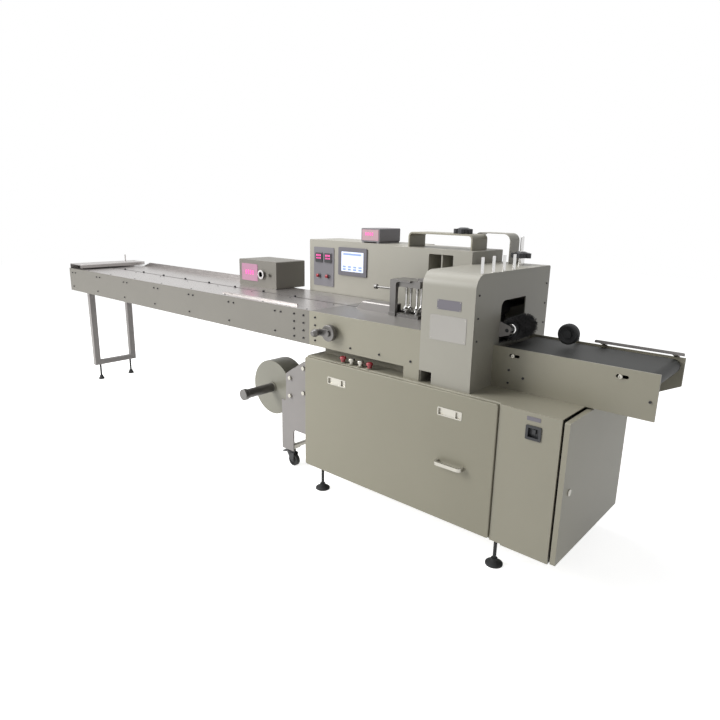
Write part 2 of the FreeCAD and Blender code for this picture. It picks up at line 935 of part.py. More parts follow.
def rear_stand_outline():
    """The rear plate: a leg, and an arm that runs out beyond it to the reel."""
    low, high = s.reel_level - s.arm_height / 2, s.reel_level + s.arm_height / 2
    tip = reel_x - s.arm_height / 2
    bend = s.arm_height / 2 - s.rest_gap
    return outline(*stand_foot_corners(), (cabinet_left, high), (tip, high, bend),
                   (tip, low, bend), (stand_left, low, s.stand_bend))


def reel_stand_plates():
    """The stand's front plate, and its rear plate whose arm carries the reel's spindle."""
    body = new_body("reel_stand_plates")
    plate = s.stand_plate
    pad(body, "xz", stand_front, stand_front + plate, front_stand_outline())
    pad(body, "xz", stand_rear, stand_rear + plate, rear_stand_outline())
    boss = (reel_x, stand_rear + plate, s.reel_level)
    turned(body, "y", boss, *drum(s.bearing_radius, size(0), s.bearing_length))
    shaft = s.spindle_shaft + s.running_gap
    cut(body, "xz", stand_rear, stand_rear + plate + s.bearing_length,
        circle(reel_x, s.reel_level, shaft))


def reel_stand_ties():
    """The bars between the stand's plates and the foot plates that its castors turn in."""
    body = new_body("reel_stand_ties")
    y = (stand_front + s.stand_plate, stand_rear)
    half = s.tie_side / 2
    for x, z in tie_places:
        pad(body, "xz", *y, rectangle((x - half, x + half), (z - half, z + half), s.tie_edge))
    foot = s.stand_foot + s.castor_plate
    stem = s.castor_stem + s.running_gap
    span = s.castor_inset - s.rest_gap
    for place, low, high in ((castor_places[0], y[0], castor_places[0] + span),
                             (castor_places[1], castor_places[1] - span, y[1])):
        pad(body, "xy", s.stand_foot, foot + s.castor_plate, rectangle(
            (castor_x - span, castor_x + span - s.tie_side), (low, high)))
        cut(body, "xy", s.stand_foot, foot + s.castor_plate, circle(castor_x, place, stem))


def film_carrier_plates():
    """The two plates over the stand between which the film's guide rollers turn."""
    body = new_body("film_carrier_plates")
    far = cabinet_left - s.carrier_reach
    near = cabinet_left - s.carrier_slope
    shape = outline((far, s.stand_high), (cabinet_left, s.stand_high), (cabinet_left, s.carrier_top),
                    (near, s.carrier_top, s.stand_bend), (far, s.carrier_step, s.stand_bend))
    for low in (stand_front, stand_rear - s.stand_plate):
        pad(body, "xz", low, low + s.stand_plate, shape)
        holes = [circle(x, z, s.roller_neck + s.running_gap) for x, z in guide_places]
        cut(body, "xz", low, low + s.stand_plate, *holes)


def film_guide_rollers():
    """The film's guide rollers, each with its necks through the plates and a cap outside."""
    body = new_body("film_guide_rollers")
    inner = s.stand_plate + s.rest_gap
    length = stand_rear - s.stand_plate - stand_front
    for x, z in guide_places:
        turned(body, "y", (x, stand_front, z),
               (0, -s.roller_cap), (s.roller_cap, -s.roller_cap, s.castor_clearance / 2),
               (s.roller_cap, -s.rest_gap), (s.roller_neck, -s.rest_gap), (s.roller_neck, inner),
               (s.roller_radius, inner), (s.roller_radius, length - s.rest_gap),
               (s.roller_neck, length - s.rest_gap), (s.roller_neck, length + s.stand_plate),
               (0, length + s.stand_plate))


def reel_spindle():
    """The reel's spindle: grip collar, mandrel, back flange and the shaft in its bearing."""
    body = new_body("reel_spindle")
    core_end = s.reel_front + s.reel_width + s.core_proud
    flange_end = core_end + s.spindle_tip
    collar = s.spindle_tip + s.spindle_collar_length
    shaft_end = s.stand_rear + s.stand_plate + s.bearing_length
    turned(body, "y", (reel_x, front, s.reel_level),
           (0, s.spindle_tip), (s.spindle_collar, s.spindle_tip, s.spindle_edge),
           (s.spindle_collar, collar), (s.spindle_radius, collar + s.spindle_collar / 4),
           (s.spindle_radius, core_end), (s.spindle_flange, core_end),
           (s.spindle_flange, flange_end), (s.spindle_shaft, flange_end),
           (s.spindle_shaft, shaft_end), (0, shaft_end))


def film_reel():
    """The roll of wrapping film on its paper core, which stands proud and slides on the mandrel."""
    body = new_body("film_reel")
    inner, core, proud = s.spindle_radius + s.running_gap, s.core_radius, s.core_proud
    low, high = s.reel_front, s.reel_front + s.reel_width
    turned(body, "y", (reel_x, front, s.reel_level), (inner, low - proud), (core, low - proud), (core, low),
           (s.reel_radius, low), (s.reel_radius, high), (core, high), (core, high + proud),
           (inner, high + proud))


def castor_fork(name, y):
    """A castor's fork: stem, head, two cheeks set back behind the stem, and a brake pedal."""
    body = new_body(name)
    wheel_x = castor_x + s.castor_trail
    head_low = s.castor_radius * 2 + s.castor_clearance
    head_high = s.stand_foot - s.castor_clearance
    turned(body, "z", (castor_x, y, 0),
           (0, head_low), (s.castor_head, head_low), (s.castor_head, head_high - s.castor_plate),
           (s.castor_stem * 2, head_high), (s.castor_stem, head_high),
           (s.castor_stem, s.stand_foot + s.castor_plate * 2), (0, s.stand_foot + s.castor_plate * 2))
    half = s.castor_width / 2 + s.castor_clearance
    axle = s.castor_axle * 2
    cheek = outline(
        (castor_x - s.castor_cheek_reach, head_low + s.castor_plate),
        (castor_x + s.castor_radius, head_low + s.castor_plate),
        (wheel_x + axle, s.castor_radius - axle, s.castor_axle),
        (wheel_x - axle, s.castor_radius - axle, s.castor_axle))
    for low in (y - half - s.castor_cheek, y + half):
        pad(body, "xz", low, low + s.castor_cheek, cheek)
    cut(body, "xz", y - half - s.castor_cheek, y + half + s.castor_cheek,
        circle(wheel_x, s.castor_radius, s.castor_axle + s.running_gap))
    pedal = (castor_x - s.castor_radius / 2 - s.castor_lever, castor_x - s.castor_radius / 2)
    pad(body, "xz", y - half, y + half, outline(
        (pedal[0], head_low - s.castor_plate), (pedal[0], head_low, s.castor_cheek / 2),
        (pedal[1], head_low + s.castor_plate),
        (pedal[1], head_low + s.castor_cheek)))


def castor_wheel(name, y):
    """A castor's wheel with its axle, which turns in the fork's cheeks."""
    body = new_body(name)
    half, radius = s.castor_width / 2, s.castor_radius
    end = half + s.castor_clearance + s.castor_cheek
    dish_high = half - s.castor_dish_depth
    dish_low = -dish_high
    turned(body, "y", (castor_x + s.castor_trail, y, radius),
           (0, -end), (s.castor_axle, -end), (s.castor_axle, -half), (s.castor_dish, -half),
           (s.castor_hub, dish_low), (s.castor_head, dish_low), (s.castor_head, -half),
           (radius, -half, s.castor_clearance), (radius, half, s.castor_clearance), (s.castor_head, half),
           (s.castor_head, dish_high), (s.castor_hub, dish_high), (s.castor_dish, half),
           (s.castor_axle, half), (s.castor_axle, end), (0, end))


# Stations of the wrapping head, the drive housing, the sealer and the discharge
line_front = front + s.head_set_back
line_back = line_front + s.line_depth
hood_right = cabinet_right - s.hood_inset
hood_left = hood_right - s.hood_length
drive_left = hood_left - s.drive_inset
hood_back = front + s.drive_back
slot_y = line_front + s.line_slot_inset
fin_x = hood_left - s.fin_inset
former_x = (fin_x - s.former_gap - s.former_length, fin_x - s.former_gap)
leg_x = (left_end + s.leg_inset, left_end + s.leg_inset + s.leg_thickness)
out_y = (front + s.out_near, front + s.out_far)


def leg_foot_places():
    near = line_front + s.leg_near + s.leg_foot_inset
    return near, line_front + s.leg_near + s.leg_span - s.leg_foot_inset


def plates(label, x, low, high, plate, y):
    """A pair of side plates on the line, with their outer faces at the two places y."""
    body = new_body(label)
    for start in (y[0], y[1] - plate):
        pad(body, "xz", start, start + plate, rectangle(x, (low, high)))
    return body


def head_plates():
    """The wrapping head's front and rear side plates."""
    body = new_body("head_plates")
    z = (s.frame_bottom, s.deck_top)
    plate = s.line_plate
    pad(body, "xz", line_front, line_front + plate, rectangle((cabinet_left, hood_left), z))
    shaft = s.wheel_shaft + s.running_gap
    cut(body, "xz", line_front, line_front + plate, circle(cabinet_left + s.wheel_inset, s.wheel_level,
                                                           shaft))
    pad(body, "xz", line_back - plate, line_back, rectangle((cabinet_left, drive_left), z))


def head_pedestal():
    """The closed box that carries the head's plates on the base."""
    body = new_body("head_pedestal")
    inset = s.pedestal_inset
    pad(body, "xy", s.cabinet_top, s.frame_bottom, outline(
        (cabinet_left + inset / 3, line_front + inset, s.hood_sheet), (hood_left, line_front + inset),
        (hood_left, front + s.drive_front), (drive_left, front + s.drive_front),
        (drive_left, line_back), (cabinet_left + inset / 3, line_back, s.hood_sheet)))
    y = (line_front, line_front + s.line_plate)
    pad(body, "xy", s.cabinet_top, s.frame_bottom, rectangle((hood_left - inset, hood_left),
                                                             (y[0], y[1] + inset)))


def head_deck():
    """The head's deck between its plates, slotted for the infeed's lugs as far as the former."""
    body = new_body("head_deck")
    z = (s.deck_top - s.deck_thickness, s.deck_top)
    y = (line_front + s.line_plate, line_back - s.line_plate)
    pad(body, "xy", *z, outline(
        (cabinet_left, y[0]), (hood_left, y[0]), (hood_left, front + s.drive_front),
        (drive_left, front + s.drive_front), (drive_left, y[1]), (cabinet_left, y[1])))
    half = s.deck_slot / 2
    cut(body, "xy", *z, rectangle((cabinet_left, former_x[0] + s.former_length / 2),
                                  (slot_y - half, slot_y + half)))


def former():
    """The film former: a bright folding box on the deck, open at both ends, with a throat below."""
    body = new_body("former")
    x = former_x
    half = s.former_depth / 2
    sheet_in = s.former_sheet
    low, high = s.deck_top, s.deck_top + s.former_height
    pad(body, "yz", *x, outline(
        (slot_y - half, low), (slot_y - half + sheet_in, low),
        (slot_y - half + sheet_in, high - sheet_in, sheet_in),
        (slot_y + half - sheet_in, high - sheet_in, sheet_in), (slot_y + half - sheet_in, low),
        (slot_y + half, low), (slot_y + half, high, sheet_in * 2), (slot_y - half, high, sheet_in * 2)))
    cut(body, "xz", slot_y - half, slot_y + half, outline(
        (x[0], high), (x[0], low + sheet_in), (x[0] + s.former_height, high)))


def drive_housing():
    """The drive housing behind the deck, with the square window in its front."""
    body = new_body("drive_housing")
    y = (front + s.drive_front, hood_back)
    pad(body, "xz", *y, rectangle((drive_left, hood_left), (s.cabinet_top, s.drive_top), s.drive_wall))
    x = (hood_left - s.window_inset - s.window_width, hood_left - s.window_inset)
    z = (s.window_low, s.window_high)
    cut(body, "xz", y[0], y[0] + s.window_depth, rectangle(x, z, s.drive_wall))
    bar = (x[0] + x[1]) / 2
    pad(body, "xz", y[0] + s.drive_wall, y[0] + s.window_depth, rectangle((bar, bar + s.window_bar), z))


def sealer_hood():
    """The end sealer's housing: one sheet bent over the top, with the front's lower corner stepped."""
    body = new_body("sealer_hood")
    y, top, skin = (line_front, hood_back), s.hood_top, s.hood_sheet
    inner = s.hood_bend - skin
    pad(body, "yz", hood_left, hood_right, outline(
        (y[0], s.cabinet_top), (y[0] + skin, s.cabinet_top), (y[0] + skin, top - skin, inner),
        (y[1] - skin, top - skin, skin), (y[1] - skin, s.cabinet_top), (y[1], s.cabinet_top),
        (y[1], top, skin * 2), (y[0], top, s.hood_bend)))
    cut(body, "xz", y[0], y[0] + skin, rectangle((hood_left, hood_left + s.hood_notch),
                                                 (s.cabinet_top, s.frame_bottom)))


def sealer_end_plates():
    """The housing's two end plates, each with the opening that the packs pass through."""
    body = new_body("sealer_end_plates")
    skin, gap = s.hood_sheet, s.rest_gap
    inner = s.hood_bend - skin
    y = (line_front + skin + gap, hood_back - skin - gap)
    hole = outline((front + s.outlet_near, s.outlet_low, skin), (front + s.outlet_far, s.outlet_low, skin),
                   (front + s.outlet_far, s.outlet_high, skin),
                   (front + s.outlet_near, s.outlet_high, s.outlet_bend))
    for low in (hood_left, hood_right - skin):
        pad(body, "yz", low, low + skin, outline(
            (y[0], s.cabinet_top), (y[1], s.cabinet_top), (y[1], s.hood_top - skin - gap, skin),
            (y[0], s.hood_top - skin - gap, inner)))
        cut(body, "yz", low, low + skin, hole)


def sealing_jaws():
    """The two crimping jaws: shafts across the housing, each with hub and two opposite blades."""
    body = new_body("sealing_jaws")
    x = (hood_left + hood_right) / 2
    y = (line_front + s.hood_sheet + s.rest_gap, hood_back - s.hood_sheet - s.rest_gap)
    near, far = front + s.jaw_near, front + s.jaw_far
    line = s.deck_top
    for z in (line + s.jaw_radius + s.rest_gap, line - s.jaw_radius - s.rest_gap):
        turned(body, "y", (x, size(0), z), (0, y[0]), (s.jaw_shaft, y[0]), (s.jaw_shaft, near),
               (s.jaw_hub, near), (s.jaw_hub, far), (s.jaw_shaft, far), (s.jaw_shaft, y[1]), (0, y[1]))
        half = s.jaw_blade / 2
        pad(body, "xz", near, far, rectangle((x - half, x + half), (z - s.jaw_radius, z + s.jaw_radius)))


def hood_posts():
    """The four bright pins along the housing's top and the threaded post for the lift knob."""
    body = new_body("hood_posts")
    x, y = hood_right - s.pin_inset, front + s.pin_near
    pin = pad(body, "xy", s.hood_top, s.hood_top + s.pin_height, circle(x, y, s.pin_radius))
    repeat_along(body, pin, "V_Axis", s.pin_pitch * (s.pin_count - 1), s.pin_count)
    turned(body, "z", (hood_right - s.post_inset, front + s.post_place, 0),
           (0, s.hood_top), (s.post_radius * 2, s.hood_top), (s.post_radius * 2, s.knob_level - s.rest_gap),
           (s.post_radius, s.knob_level - s.rest_gap), (s.post_radius, s.post_top, s.pin_radius / 2),
           (0, s.post_top))


def star_knob(label, x, y, z, bore):
    """A lobed hand knob with a domed hub, bored for its screw."""
    body = new_body(label)
    lobe = pad(body, "xy", z, z + s.knob_height, circle(x + s.knob_radius - s.knob_lobe, y, s.knob_lobe))
    body.newObject("PartDesign::PolarPattern", label + "Lobes")
    pattern = body.Group[-1]
    axis = draw_on(body, "xy", (x, y, z), [])
    pattern.Originals = [lobe]
    pattern.Axis = (axis, ["N_Axis"])
    pattern.Angle = FULL_TURN
    bind(pattern, "Occurrences", s.knob_lobes)
    body.Tip = pattern
    core = s.knob_radius - s.knob_lobe
    turned(body, "z", (x, y, z), (0, 0), (core, 0), (core, s.knob_height),
           (core / 2, s.knob_height + s.knob_cap), (0, s.knob_height + s.knob_cap))
    cut(body, "xy", z, z + s.knob_height + s.knob_cap, circle(x, y, bore))


def post_knob():
    star_knob("post_knob", hood_right - s.post_inset, front + s.post_place, s.knob_level,
              s.post_radius + s.running_gap)


brush_x = hood_right + s.brush_reach


def add_brush_arms(body):
    """The two arms on the end plate that hold the outlet brush's shaft."""
    hole = s.brush_shaft + s.running_gap
    bend = s.brush_hub / 2
    for low in (front + s.outlet_near - s.brush_arm, front + s.outlet_far):
        x = (hood_right, brush_x + bend)
        pad(body, "xz", low, low + s.brush_arm, outline(
            (x[0], s.brush_level - s.brush_hub), (x[1], s.brush_level - bend, bend - s.rest_gap),
            (x[1], s.brush_level + bend, bend - s.rest_gap), (x[0], s.brush_level + s.brush_hub)))
        cut(body, "xz", low, low + s.brush_arm, circle(brush_x, s.brush_level, hole))


def outlet_brush():
    """The round brush over the belt at the outlet, with a hub disc at each end."""
    body = new_body("outlet_brush")
    y = (s.outlet_near - s.brush_arm, s.outlet_far + s.brush_arm)
    near, far = s.brush_near, s.brush_far
    turned(body, "y", (brush_x, front, s.brush_level),
           (0, y[0]), (s.brush_shaft, y[0]), (s.brush_shaft, near - s.brush_arm),
           (s.brush_hub, near - s.brush_arm),
           (s.brush_hub, near), (s.brush_radius, near), (s.brush_radius, far), (s.brush_hub, far),
           (s.brush_hub, far + s.brush_arm), (s.brush_shaft, far + s.brush_arm), (s.brush_shaft, y[1]),
           (0, y[1]))


fin_y = front + s.fin_place


def fin_seal_frame():
    """The fin-seal unit's frame: base bars, dark upright, shelf, curved guard and set rod."""
    body = new_body("fin_seal_frame")
    low, top = s.deck_top, s.fin_top
    base = low + s.fin_base_height
    right = fin_x + s.fin_base
    far = fin_y + s.fin_depth
    bar = s.fin_upright
    for y in (fin_y, far - bar):
        pad(body, "xy", low, base, rectangle((fin_x, right), (y, y + bar)))
    pad(body, "xz", fin_y + s.fin_bar, fin_y + bar, outline(
        (fin_x, base), (fin_x + bar, base), (fin_x + bar, top - bar, bar / 2), (right, top - bar),
        (right, top, s.fin_bar), (fin_x, top, s.fin_bar)))
    pad(body, "xz", fin_y + bar, far, rectangle((right - bar, right), (top, top + s.fin_shelf)))
    pad(body, "xz", fin_y + bar, far, rectangle((fin_x, right), (top - s.fin_shelf, top)))
    guard = fin_x + bar + s.fin_bar
    pad(body, "xz", fin_y - s.fin_bar, fin_y + s.fin_bar, outline(
        (guard, low), (guard + s.fin_bar, low), (guard + s.fin_bar, top - s.fin_bar, bar / 2),
        (guard + s.fin_guard, top - s.fin_bar), (guard + s.fin_guard, top),
        (guard, top, bar / 2 + s.fin_bar)))
    turned(body, "x", (fin_x, fin_y + bar / 2, s.fin_rod_level),
           (0, -s.fin_rod_reach), (s.fin_rod * 2, -s.fin_rod_reach, s.fin_rod / 2),
           (s.fin_rod * 2, -s.fin_rod_reach + s.fin_rod * 3),
           (s.fin_rod, -s.fin_rod_reach + s.fin_rod * 3), (s.fin_rod, 0), (0, 0))


def fin_seal_wheels():
    """The draw and seal wheels in pairs on their upright spindles under the shelf."""
    body = new_body("fin_seal_wheels")
    y = fin_y + s.fin_depth / 2
    for place in (s.fin_wheel_near, s.fin_wheel_far):
        x = fin_x + place
        for side in (-1, 1):
            centre = (x, y + side * (s.fin_wheel_radius / 2 + s.fin_wheel_gap), 0)
            low = s.deck_top + s.fin_wheel_rise
            rim, high = s.fin_wheel_radius / 2, low + s.fin_wheel_height
            neck = s.fin_top - s.fin_shelf
            turned(body, "z", centre, (0, s.deck_top), (s.fin_rod, s.deck_top), (s.fin_rod, low),
                   (rim, low, s.fin_wheel_gap), (rim, high), (s.fin_wheel_nut, high + s.fin_rod),
                   (s.fin_rod, high + s.fin_rod * 3),
                   (s.fin_rod, neck), (0, neck))


def handwheel():
    """The handwheel on the head's front: shaft, chrome hub, crank arm and its grip."""
    body = new_body("handwheel")
    x, z = cabinet_left + s.wheel_inset, s.wheel_level
    inner = s.line_plate
    hub = -(s.wheel_boss + s.rest_gap)
    rim = hub - s.wheel_thickness
    arm = rim - s.crank_thickness
    tip = arm - s.rest_gap - s.crank_grip
    turned(body, "y", (x, line_front, z), (0, tip + s.crank_grip), (s.wheel_boss, tip + s.crank_grip),
           (s.wheel_boss, rim), (s.wheel_radius, rim, s.wheel_edge), (s.wheel_radius, hub, s.wheel_edge),
           (s.wheel_collar, hub), (s.wheel_collar, -s.rest_gap), (s.wheel_shaft, -s.rest_gap),
           (s.wheel_shaft, inner), (0, inner))
    end = s.crank_end
    grip_x = x - s.crank_throw
    pad(body, "xz", line_front + arm, line_front + rim, rectangle(
        (grip_x - end, x + end), (z - end, z + end), end - s.rest_gap))
    radius = s.grip_radius
    turned(body, "y", (grip_x, line_front, z), (0, tip), (s.grip_tip, tip, radius / 3),
           (radius, tip + radius, radius / 2), (s.grip_tip, arm), (0, arm))


def push_button(label, index):
    """One of the row of push buttons in front of the head, its stem sunk into the base."""
    body = new_body(label)
    low = s.cabinet_top - s.button_foot
    high = s.cabinet_top + s.button_height
    cap = high - s.button_cap
    turned(body, "z", (button_place(index), button_y, 0), (0, low), (s.button_stem, low),
           (s.button_stem, cap), (s.button_radius, cap), (s.button_radius, high, s.button_cap / 2),
           (0, high))


def push_buttons():
    for index in range(BUTTONS):
        push_button(f"push_button_{index + 1}", index)


def discharge_plates():
    """The discharge's side plates: slotted in front, with the rear one's lower corner cut off."""
    body = new_body("discharge_plates")
    x, plate = (hood_right, right_end), s.out_plate
    slots = [slot((x[0] + place, x[0] + place + s.out_slot), s.out_slot_level, s.out_slot_radius)
             for place in (s.out_slot_near, s.out_slot_far)]
    corner = s.out_corner
    pad(body, "xz", out_y[0], out_y[0] + plate, rectangle(x, (s.cabinet_top, s.out_top)))
    cut(body, "xz", out_y[0], out_y[0] + plate, *slots)
    pad(body, "xz", out_y[1] - plate, out_y[1], outline(
        (x[0], s.cabinet_top), (x[1] - corner, s.cabinet_top), (x[1], s.cabinet_top + corner / 2),
        (x[1], s.out_top), (x[0], s.out_top)))


belt_x = (hood_right + s.belt_inset, right_end - s.belt_inset)
belt_z = s.belt_top - s.belt_thickness - s.belt_roller
belt_y = (out_y[0] + s.out_plate + s.belt_gap, out_y[1] - s.out_plate - s.belt_gap)


def discharge_rollers():
    """The belt's end rollers, with their shafts between the side plates."""
    body = new_body("discharge_rollers")
    y = (out_y[0] + s.out_plate, out_y[1] - s.out_plate)
    for x in belt_x:
        turned(body, "y", (x, 0, belt_z), (0, y[0]), (s.belt_shaft, y[0]), (s.belt_shaft, belt_y[0]),
               (s.belt_roller, belt_y[0]), (s.belt_roller, belt_y[1]), (s.belt_shaft, belt_y[1]),
               (s.belt_shaft, y[1]), (0, y[1]))


def belt_loop(body, x, y, z, inner, thickness):
    """A closed loop round two equal rollers."""
    pad(body, "xz", *y, slot(x, z, inner + thickness))
    cut(body, "xz", *y, slot(x, z, inner))


def discharge_belt():
    body = new_body("discharge_belt")
    belt_loop(body, belt_x, belt_y, belt_z, s.belt_roller + s.running_gap, s.belt_thickness)


def discharge_bed():
    """The slide bed under the belt's top run, and the bottom tray between the plates."""
    body = new_body("discharge_bed")
    y = (out_y[0] + s.out_plate, out_y[1] - s.out_plate)
    top = s.belt_top - s.belt_thickness - s.rest_gap
    inset = s.belt_roller * 2
    pad(body, "xy", top - s.bed_thickness, top, rectangle((belt_x[0] + inset, belt_x[1] - inset), y))
    pad(body, "xy", s.cabinet_top, s.cabinet_top + s.bed_thickness, rectangle((hood_right,
                                                                               cabinet_right), y))


def discharge_rail():
    """The thin guide rail along the belt's far side, on its two brackets."""
    body = new_body("discharge_rail")
    y = out_y[1] - s.guide_inset
    x = (hood_right + s.guide_start, right_end)
    z = s.out_top + s.guide_height
    pad(body, "xz", y, y + s.guide_rail, outline(
        (x[0], z - s.guide_height / 2), (x[1], z - s.guide_height / 2), (x[1], z, s.guide_rail),
        (x[0], z, s.guide_rail)))
    foot = s.guide_rail * 4
    for low in (x[0] + foot, x[1] - foot * 2):
        pad(body, "yz", low, low + foot, outline(
            (y, z - s.guide_height / 2), (out_y[1], s.out_top), (out_y[1], s.out_top + s.guide_rail),
            (y + s.guide_rail, z)))


press_x = cabinet_right - s.press_inset
press_y = front + s.press_place


def press_wheel():
    """The press wheel over the belt: a dished hub in a soft tyre, on its axle."""
    body = new_body("press_wheel")
    half = s.press_width / 2
    end = half + s.press_gap + s.press_arm
    turned(body, "y", (press_x, press_y, s.press_level), (0, -half), (s.press_hub / 2, -half),
           (s.press_hub / 2, -half + s.press_axle), (s.press_hub, -half + s.press_axle / 2),
           (s.press_hub, -half),
           (s.press_radius, -half, s.press_axle), (s.press_radius, half, s.press_axle),
           (s.press_axle, half), (s.press_axle, end), (0, end))


def discharge_brackets():
    body = new_body("discharge_brackets")
    add_brush_arms(body)
    add_press_wheel_bracket(body)


def add_press_wheel_bracket(body):
    """The wheel's bracket on the discharge's rear plate: an arm over the belt, bored for the axle."""
    start = press_y + s.press_width / 2 + s.press_gap
    side = s.press_bracket
    arm = (start, start + s.press_arm)
    z = s.press_level
    pad(body, "xz", *arm, rectangle((press_x - side, press_x + side), (z - side, z + side), s.press_arm))
    pad(body, "yz", press_x - side, press_x - side / 2, outline(
        (arm[0], z - side / 2), (arm[1], z - side / 2), (out_y[1] - s.out_plate, s.out_top),
        (out_y[1], s.out_top),
        (out_y[1], s.out_top + side), (arm[1] + side, z + side), (arm[0], z + side)))
    cut(body, "xz", *arm, circle(press_x, z, s.press_axle + s.running_gap))


def infeed_plates():
    """The infeed conveyor's long side plates."""
    plates("infeed_plates", (left_end, cabinet_left), s.frame_bottom, s.deck_top, s.line_plate,
           (line_front, line_back))


def infeed_deck():
    """The infeed's two deck plates either side of the lug slot, and the crossbars under them."""
    body = new_body("infeed_deck")
    z = (s.deck_top - s.deck_thickness, s.deck_top)
    y = (line_front + s.line_plate, line_back - s.line_plate)
    half = s.deck_slot / 2
    for span in ((y[0], slot_y - half), (slot_y + half, y[1])):
        pad(body, "xy", *z, rectangle((left_end, cabinet_left), span))
    low = s.frame_bottom
    for x in (leg_x[0], (leg_x[0] + cabinet_left) / 2, cabinet_left - s.leg_thickness):
        pad(body, "xy", low, low + s.leg_thickness / 2, rectangle((x, x + s.leg_thickness), y))


def infeed_chain():
    """The lug chain: one closed loop over its end sprockets, with pusher lugs at even pitch."""
    body = new_body("infeed_chain")
    radius = s.chain_sprocket
    height = s.chain_height
    z = s.deck_top - s.deck_thickness - height - radius
    x = (left_end + s.chain_inset, cabinet_left - s.chain_inset)
    y = (slot_y - s.chain_width / 2, slot_y + s.chain_width / 2)
    belt_loop(body, x, y, z, radius, height)
    top = z + radius
    lug = pad(body, "xz", *y, outline(
        (x[0], top), (x[0] + s.lug_length, top), (x[0] + s.lug_length, s.deck_top + s.lug_rise, s.lug_edge),
        (x[0] + s.lug_length / 3, s.deck_top + s.lug_rise)))
    repeat_along(body, lug, "H_Axis", s.chain_pitch * (s.chain_count - 1), s.chain_count)
    wall = (line_front + s.line_plate, line_back - s.line_plate)
    for place in x:
        pad(body, "xz", *y, circle(place, z, radius))
        pad(body, "xz", *wall, circle(place, z, s.chain_shaft))


def infeed_end_cover():
    """The raised cover over the infeed's outer end, with its small pin."""
    body = new_body("infeed_end_cover")
    x = (left_end, left_end + s.end_cover_length)
    lip, top = s.end_cover_lip, s.deck_top + s.end_cover_height
    near = line_front + s.line_plate
    pad(body, "xz", near, line_back, outline(
        (x[0], s.deck_top), (x[0] + lip / 2, s.deck_top), (x[0] + lip / 2, top - lip / 2),
        (x[1] - lip / 2, top - lip / 2),
        (x[1] - lip / 2, s.deck_top + lip), (x[1], s.deck_top + lip), (x[1], top, lip / 2),
        (x[0], top, lip)))
    pad(body, "xy", top, top + s.end_pin_height, circle(x[0] + s.end_cover_length / 2,
                                                        line_back - s.leg_near, s.end_pin))


def infeed_guides():
    """The far guide rail along the deck, pointed at its outer end, and the low near strip."""
    body = new_body("infeed_guides")
    start, end = left_end + s.end_cover_length, control_x[0]
    y = line_back - s.line_plate
    rise = s.guide_strip_height * 3
    pad(body, "xz", y, line_back, outline((start, s.deck_top), (end, s.deck_top), (end, s.deck_top + rise),
                                          (start + rise * 3, s.deck_top + rise)))
    near = line_front + s.guide_strip_inset
    x = cabinet_left - s.guide_strip_start
    pad(body, "xz", near, near + s.guide_strip, outline(
        (x, s.deck_top), (x + s.guide_strip_length, s.deck_top),
        (x + s.guide_strip_length, s.deck_top + s.guide_strip_height),
        (x + rise, s.deck_top + s.guide_strip_height)))


def infeed_leg_frame():
    """The leg frame at the infeed's outer end: two posts and a bottom bar, cut from one outline."""
    body = new_body("infeed_leg_frame")
    y = (line_front + s.leg_near, line_front + s.leg_near + s.leg_span)
    post = s.leg_post
    pad(body, "yz", *leg_x, rectangle(y, (s.leg_bottom, s.frame_bottom)))
    cut(body, "yz", *leg_x, rectangle((y[0] + post, y[1] - post),
                                      (s.leg_bottom + s.leg_thickness, s.frame_bottom - s.leg_thickness)))


control_x = (cabinet_left - s.control_inset - s.control_length, cabinet_left - s.control_inset)


def infeed_control_box():
    """The infeed's control box on the deck's far side, with its dial and set knob."""
    body = new_body("infeed_control_box")
    y = (front + s.control_front, front + s.control_front + s.control_depth)
    z = (s.deck_top, s.deck_top + s.control_height)
    pad(body, "xz", *y, rectangle(control_x, z, s.control_edge))
    x = (control_x[0] + control_x[1]) / 2
    middle = s.deck_top + s.control_height / 2
    for place, radius in ((x + s.control_knob * 3, s.control_knob),
                          (x + s.control_knob * 7, s.control_knob_small)):
        pad(body, "xz", y[0] - s.control_knob_reach, y[0], circle(place, middle, radius))


box_x = (drive_left - s.box_gap - s.box_length, drive_left - s.box_gap)
box_y = front + s.box_front


def control_cabinet():
    """The control cabinet behind the line, with the foot that carries it on the base."""
    body = new_body("control_cabinet")
    pad(body, "xz", box_y, box_y + s.box_depth, rectangle(box_x, (s.box_bottom, s.box_top), s.control_edge))
    foot = (box_x[1] - s.box_foot_inset * 2 - s.box_foot, box_x[1] - s.box_foot_inset * 2)
    pad(body, "xy", s.cabinet_top, s.box_bottom, rectangle(foot,
                                                           (box_y, box_y + s.box_foot), s.control_edge / 2))


def panel_outline(inset, width, low, height, margin, radius):
    """A raised panel's outline on the control cabinet's front, less a margin."""
    x = box_x[0] + inset
    return rectangle((x + margin, x + width - margin), (low + margin, low + height - margin), radius)


def touch_screen():
    """The touch screen: its bezel, with the glass set back inside it."""
    body = new_body("touch_screen")
    given = (s.screen_inset, s.screen_width, s.screen_low, s.screen_height)
    pad(body, "xz", box_y - s.screen_proud, box_y, panel_outline(*given, size(0), s.control_edge))
    cut(body, "xz", box_y - s.screen_proud, box_y - s.screen_proud + s.screen_depth,
        panel_outline(*given, s.screen_rim, s.screen_depth))


def instrument_panel():
    """The instrument panel: two small controllers over two rotary switches."""
    body = new_body("instrument_panel")
    given = (s.panel_inset, s.panel_width, s.panel_low, s.panel_height)
    face = box_y - s.panel_proud
    pad(body, "xz", face, box_y, panel_outline(*given, size(0), s.control_edge))
    half, middle = s.panel_device / 2, box_x[0] + s.panel_inset + s.panel_width / 2
    for side in (-1, 1):
        x = middle + side * (half + s.control_edge)
        z = s.panel_low + s.panel_height - s.panel_device
        pad(body, "xz", face - s.panel_proud, face, rectangle((x - half, x + half),
                                                              (z - half, z + half), s.panel_proud))
        pad(body, "xz", face - s.panel_switch, face, circle(x, s.panel_low + s.panel_device,
                                                            s.panel_switch))


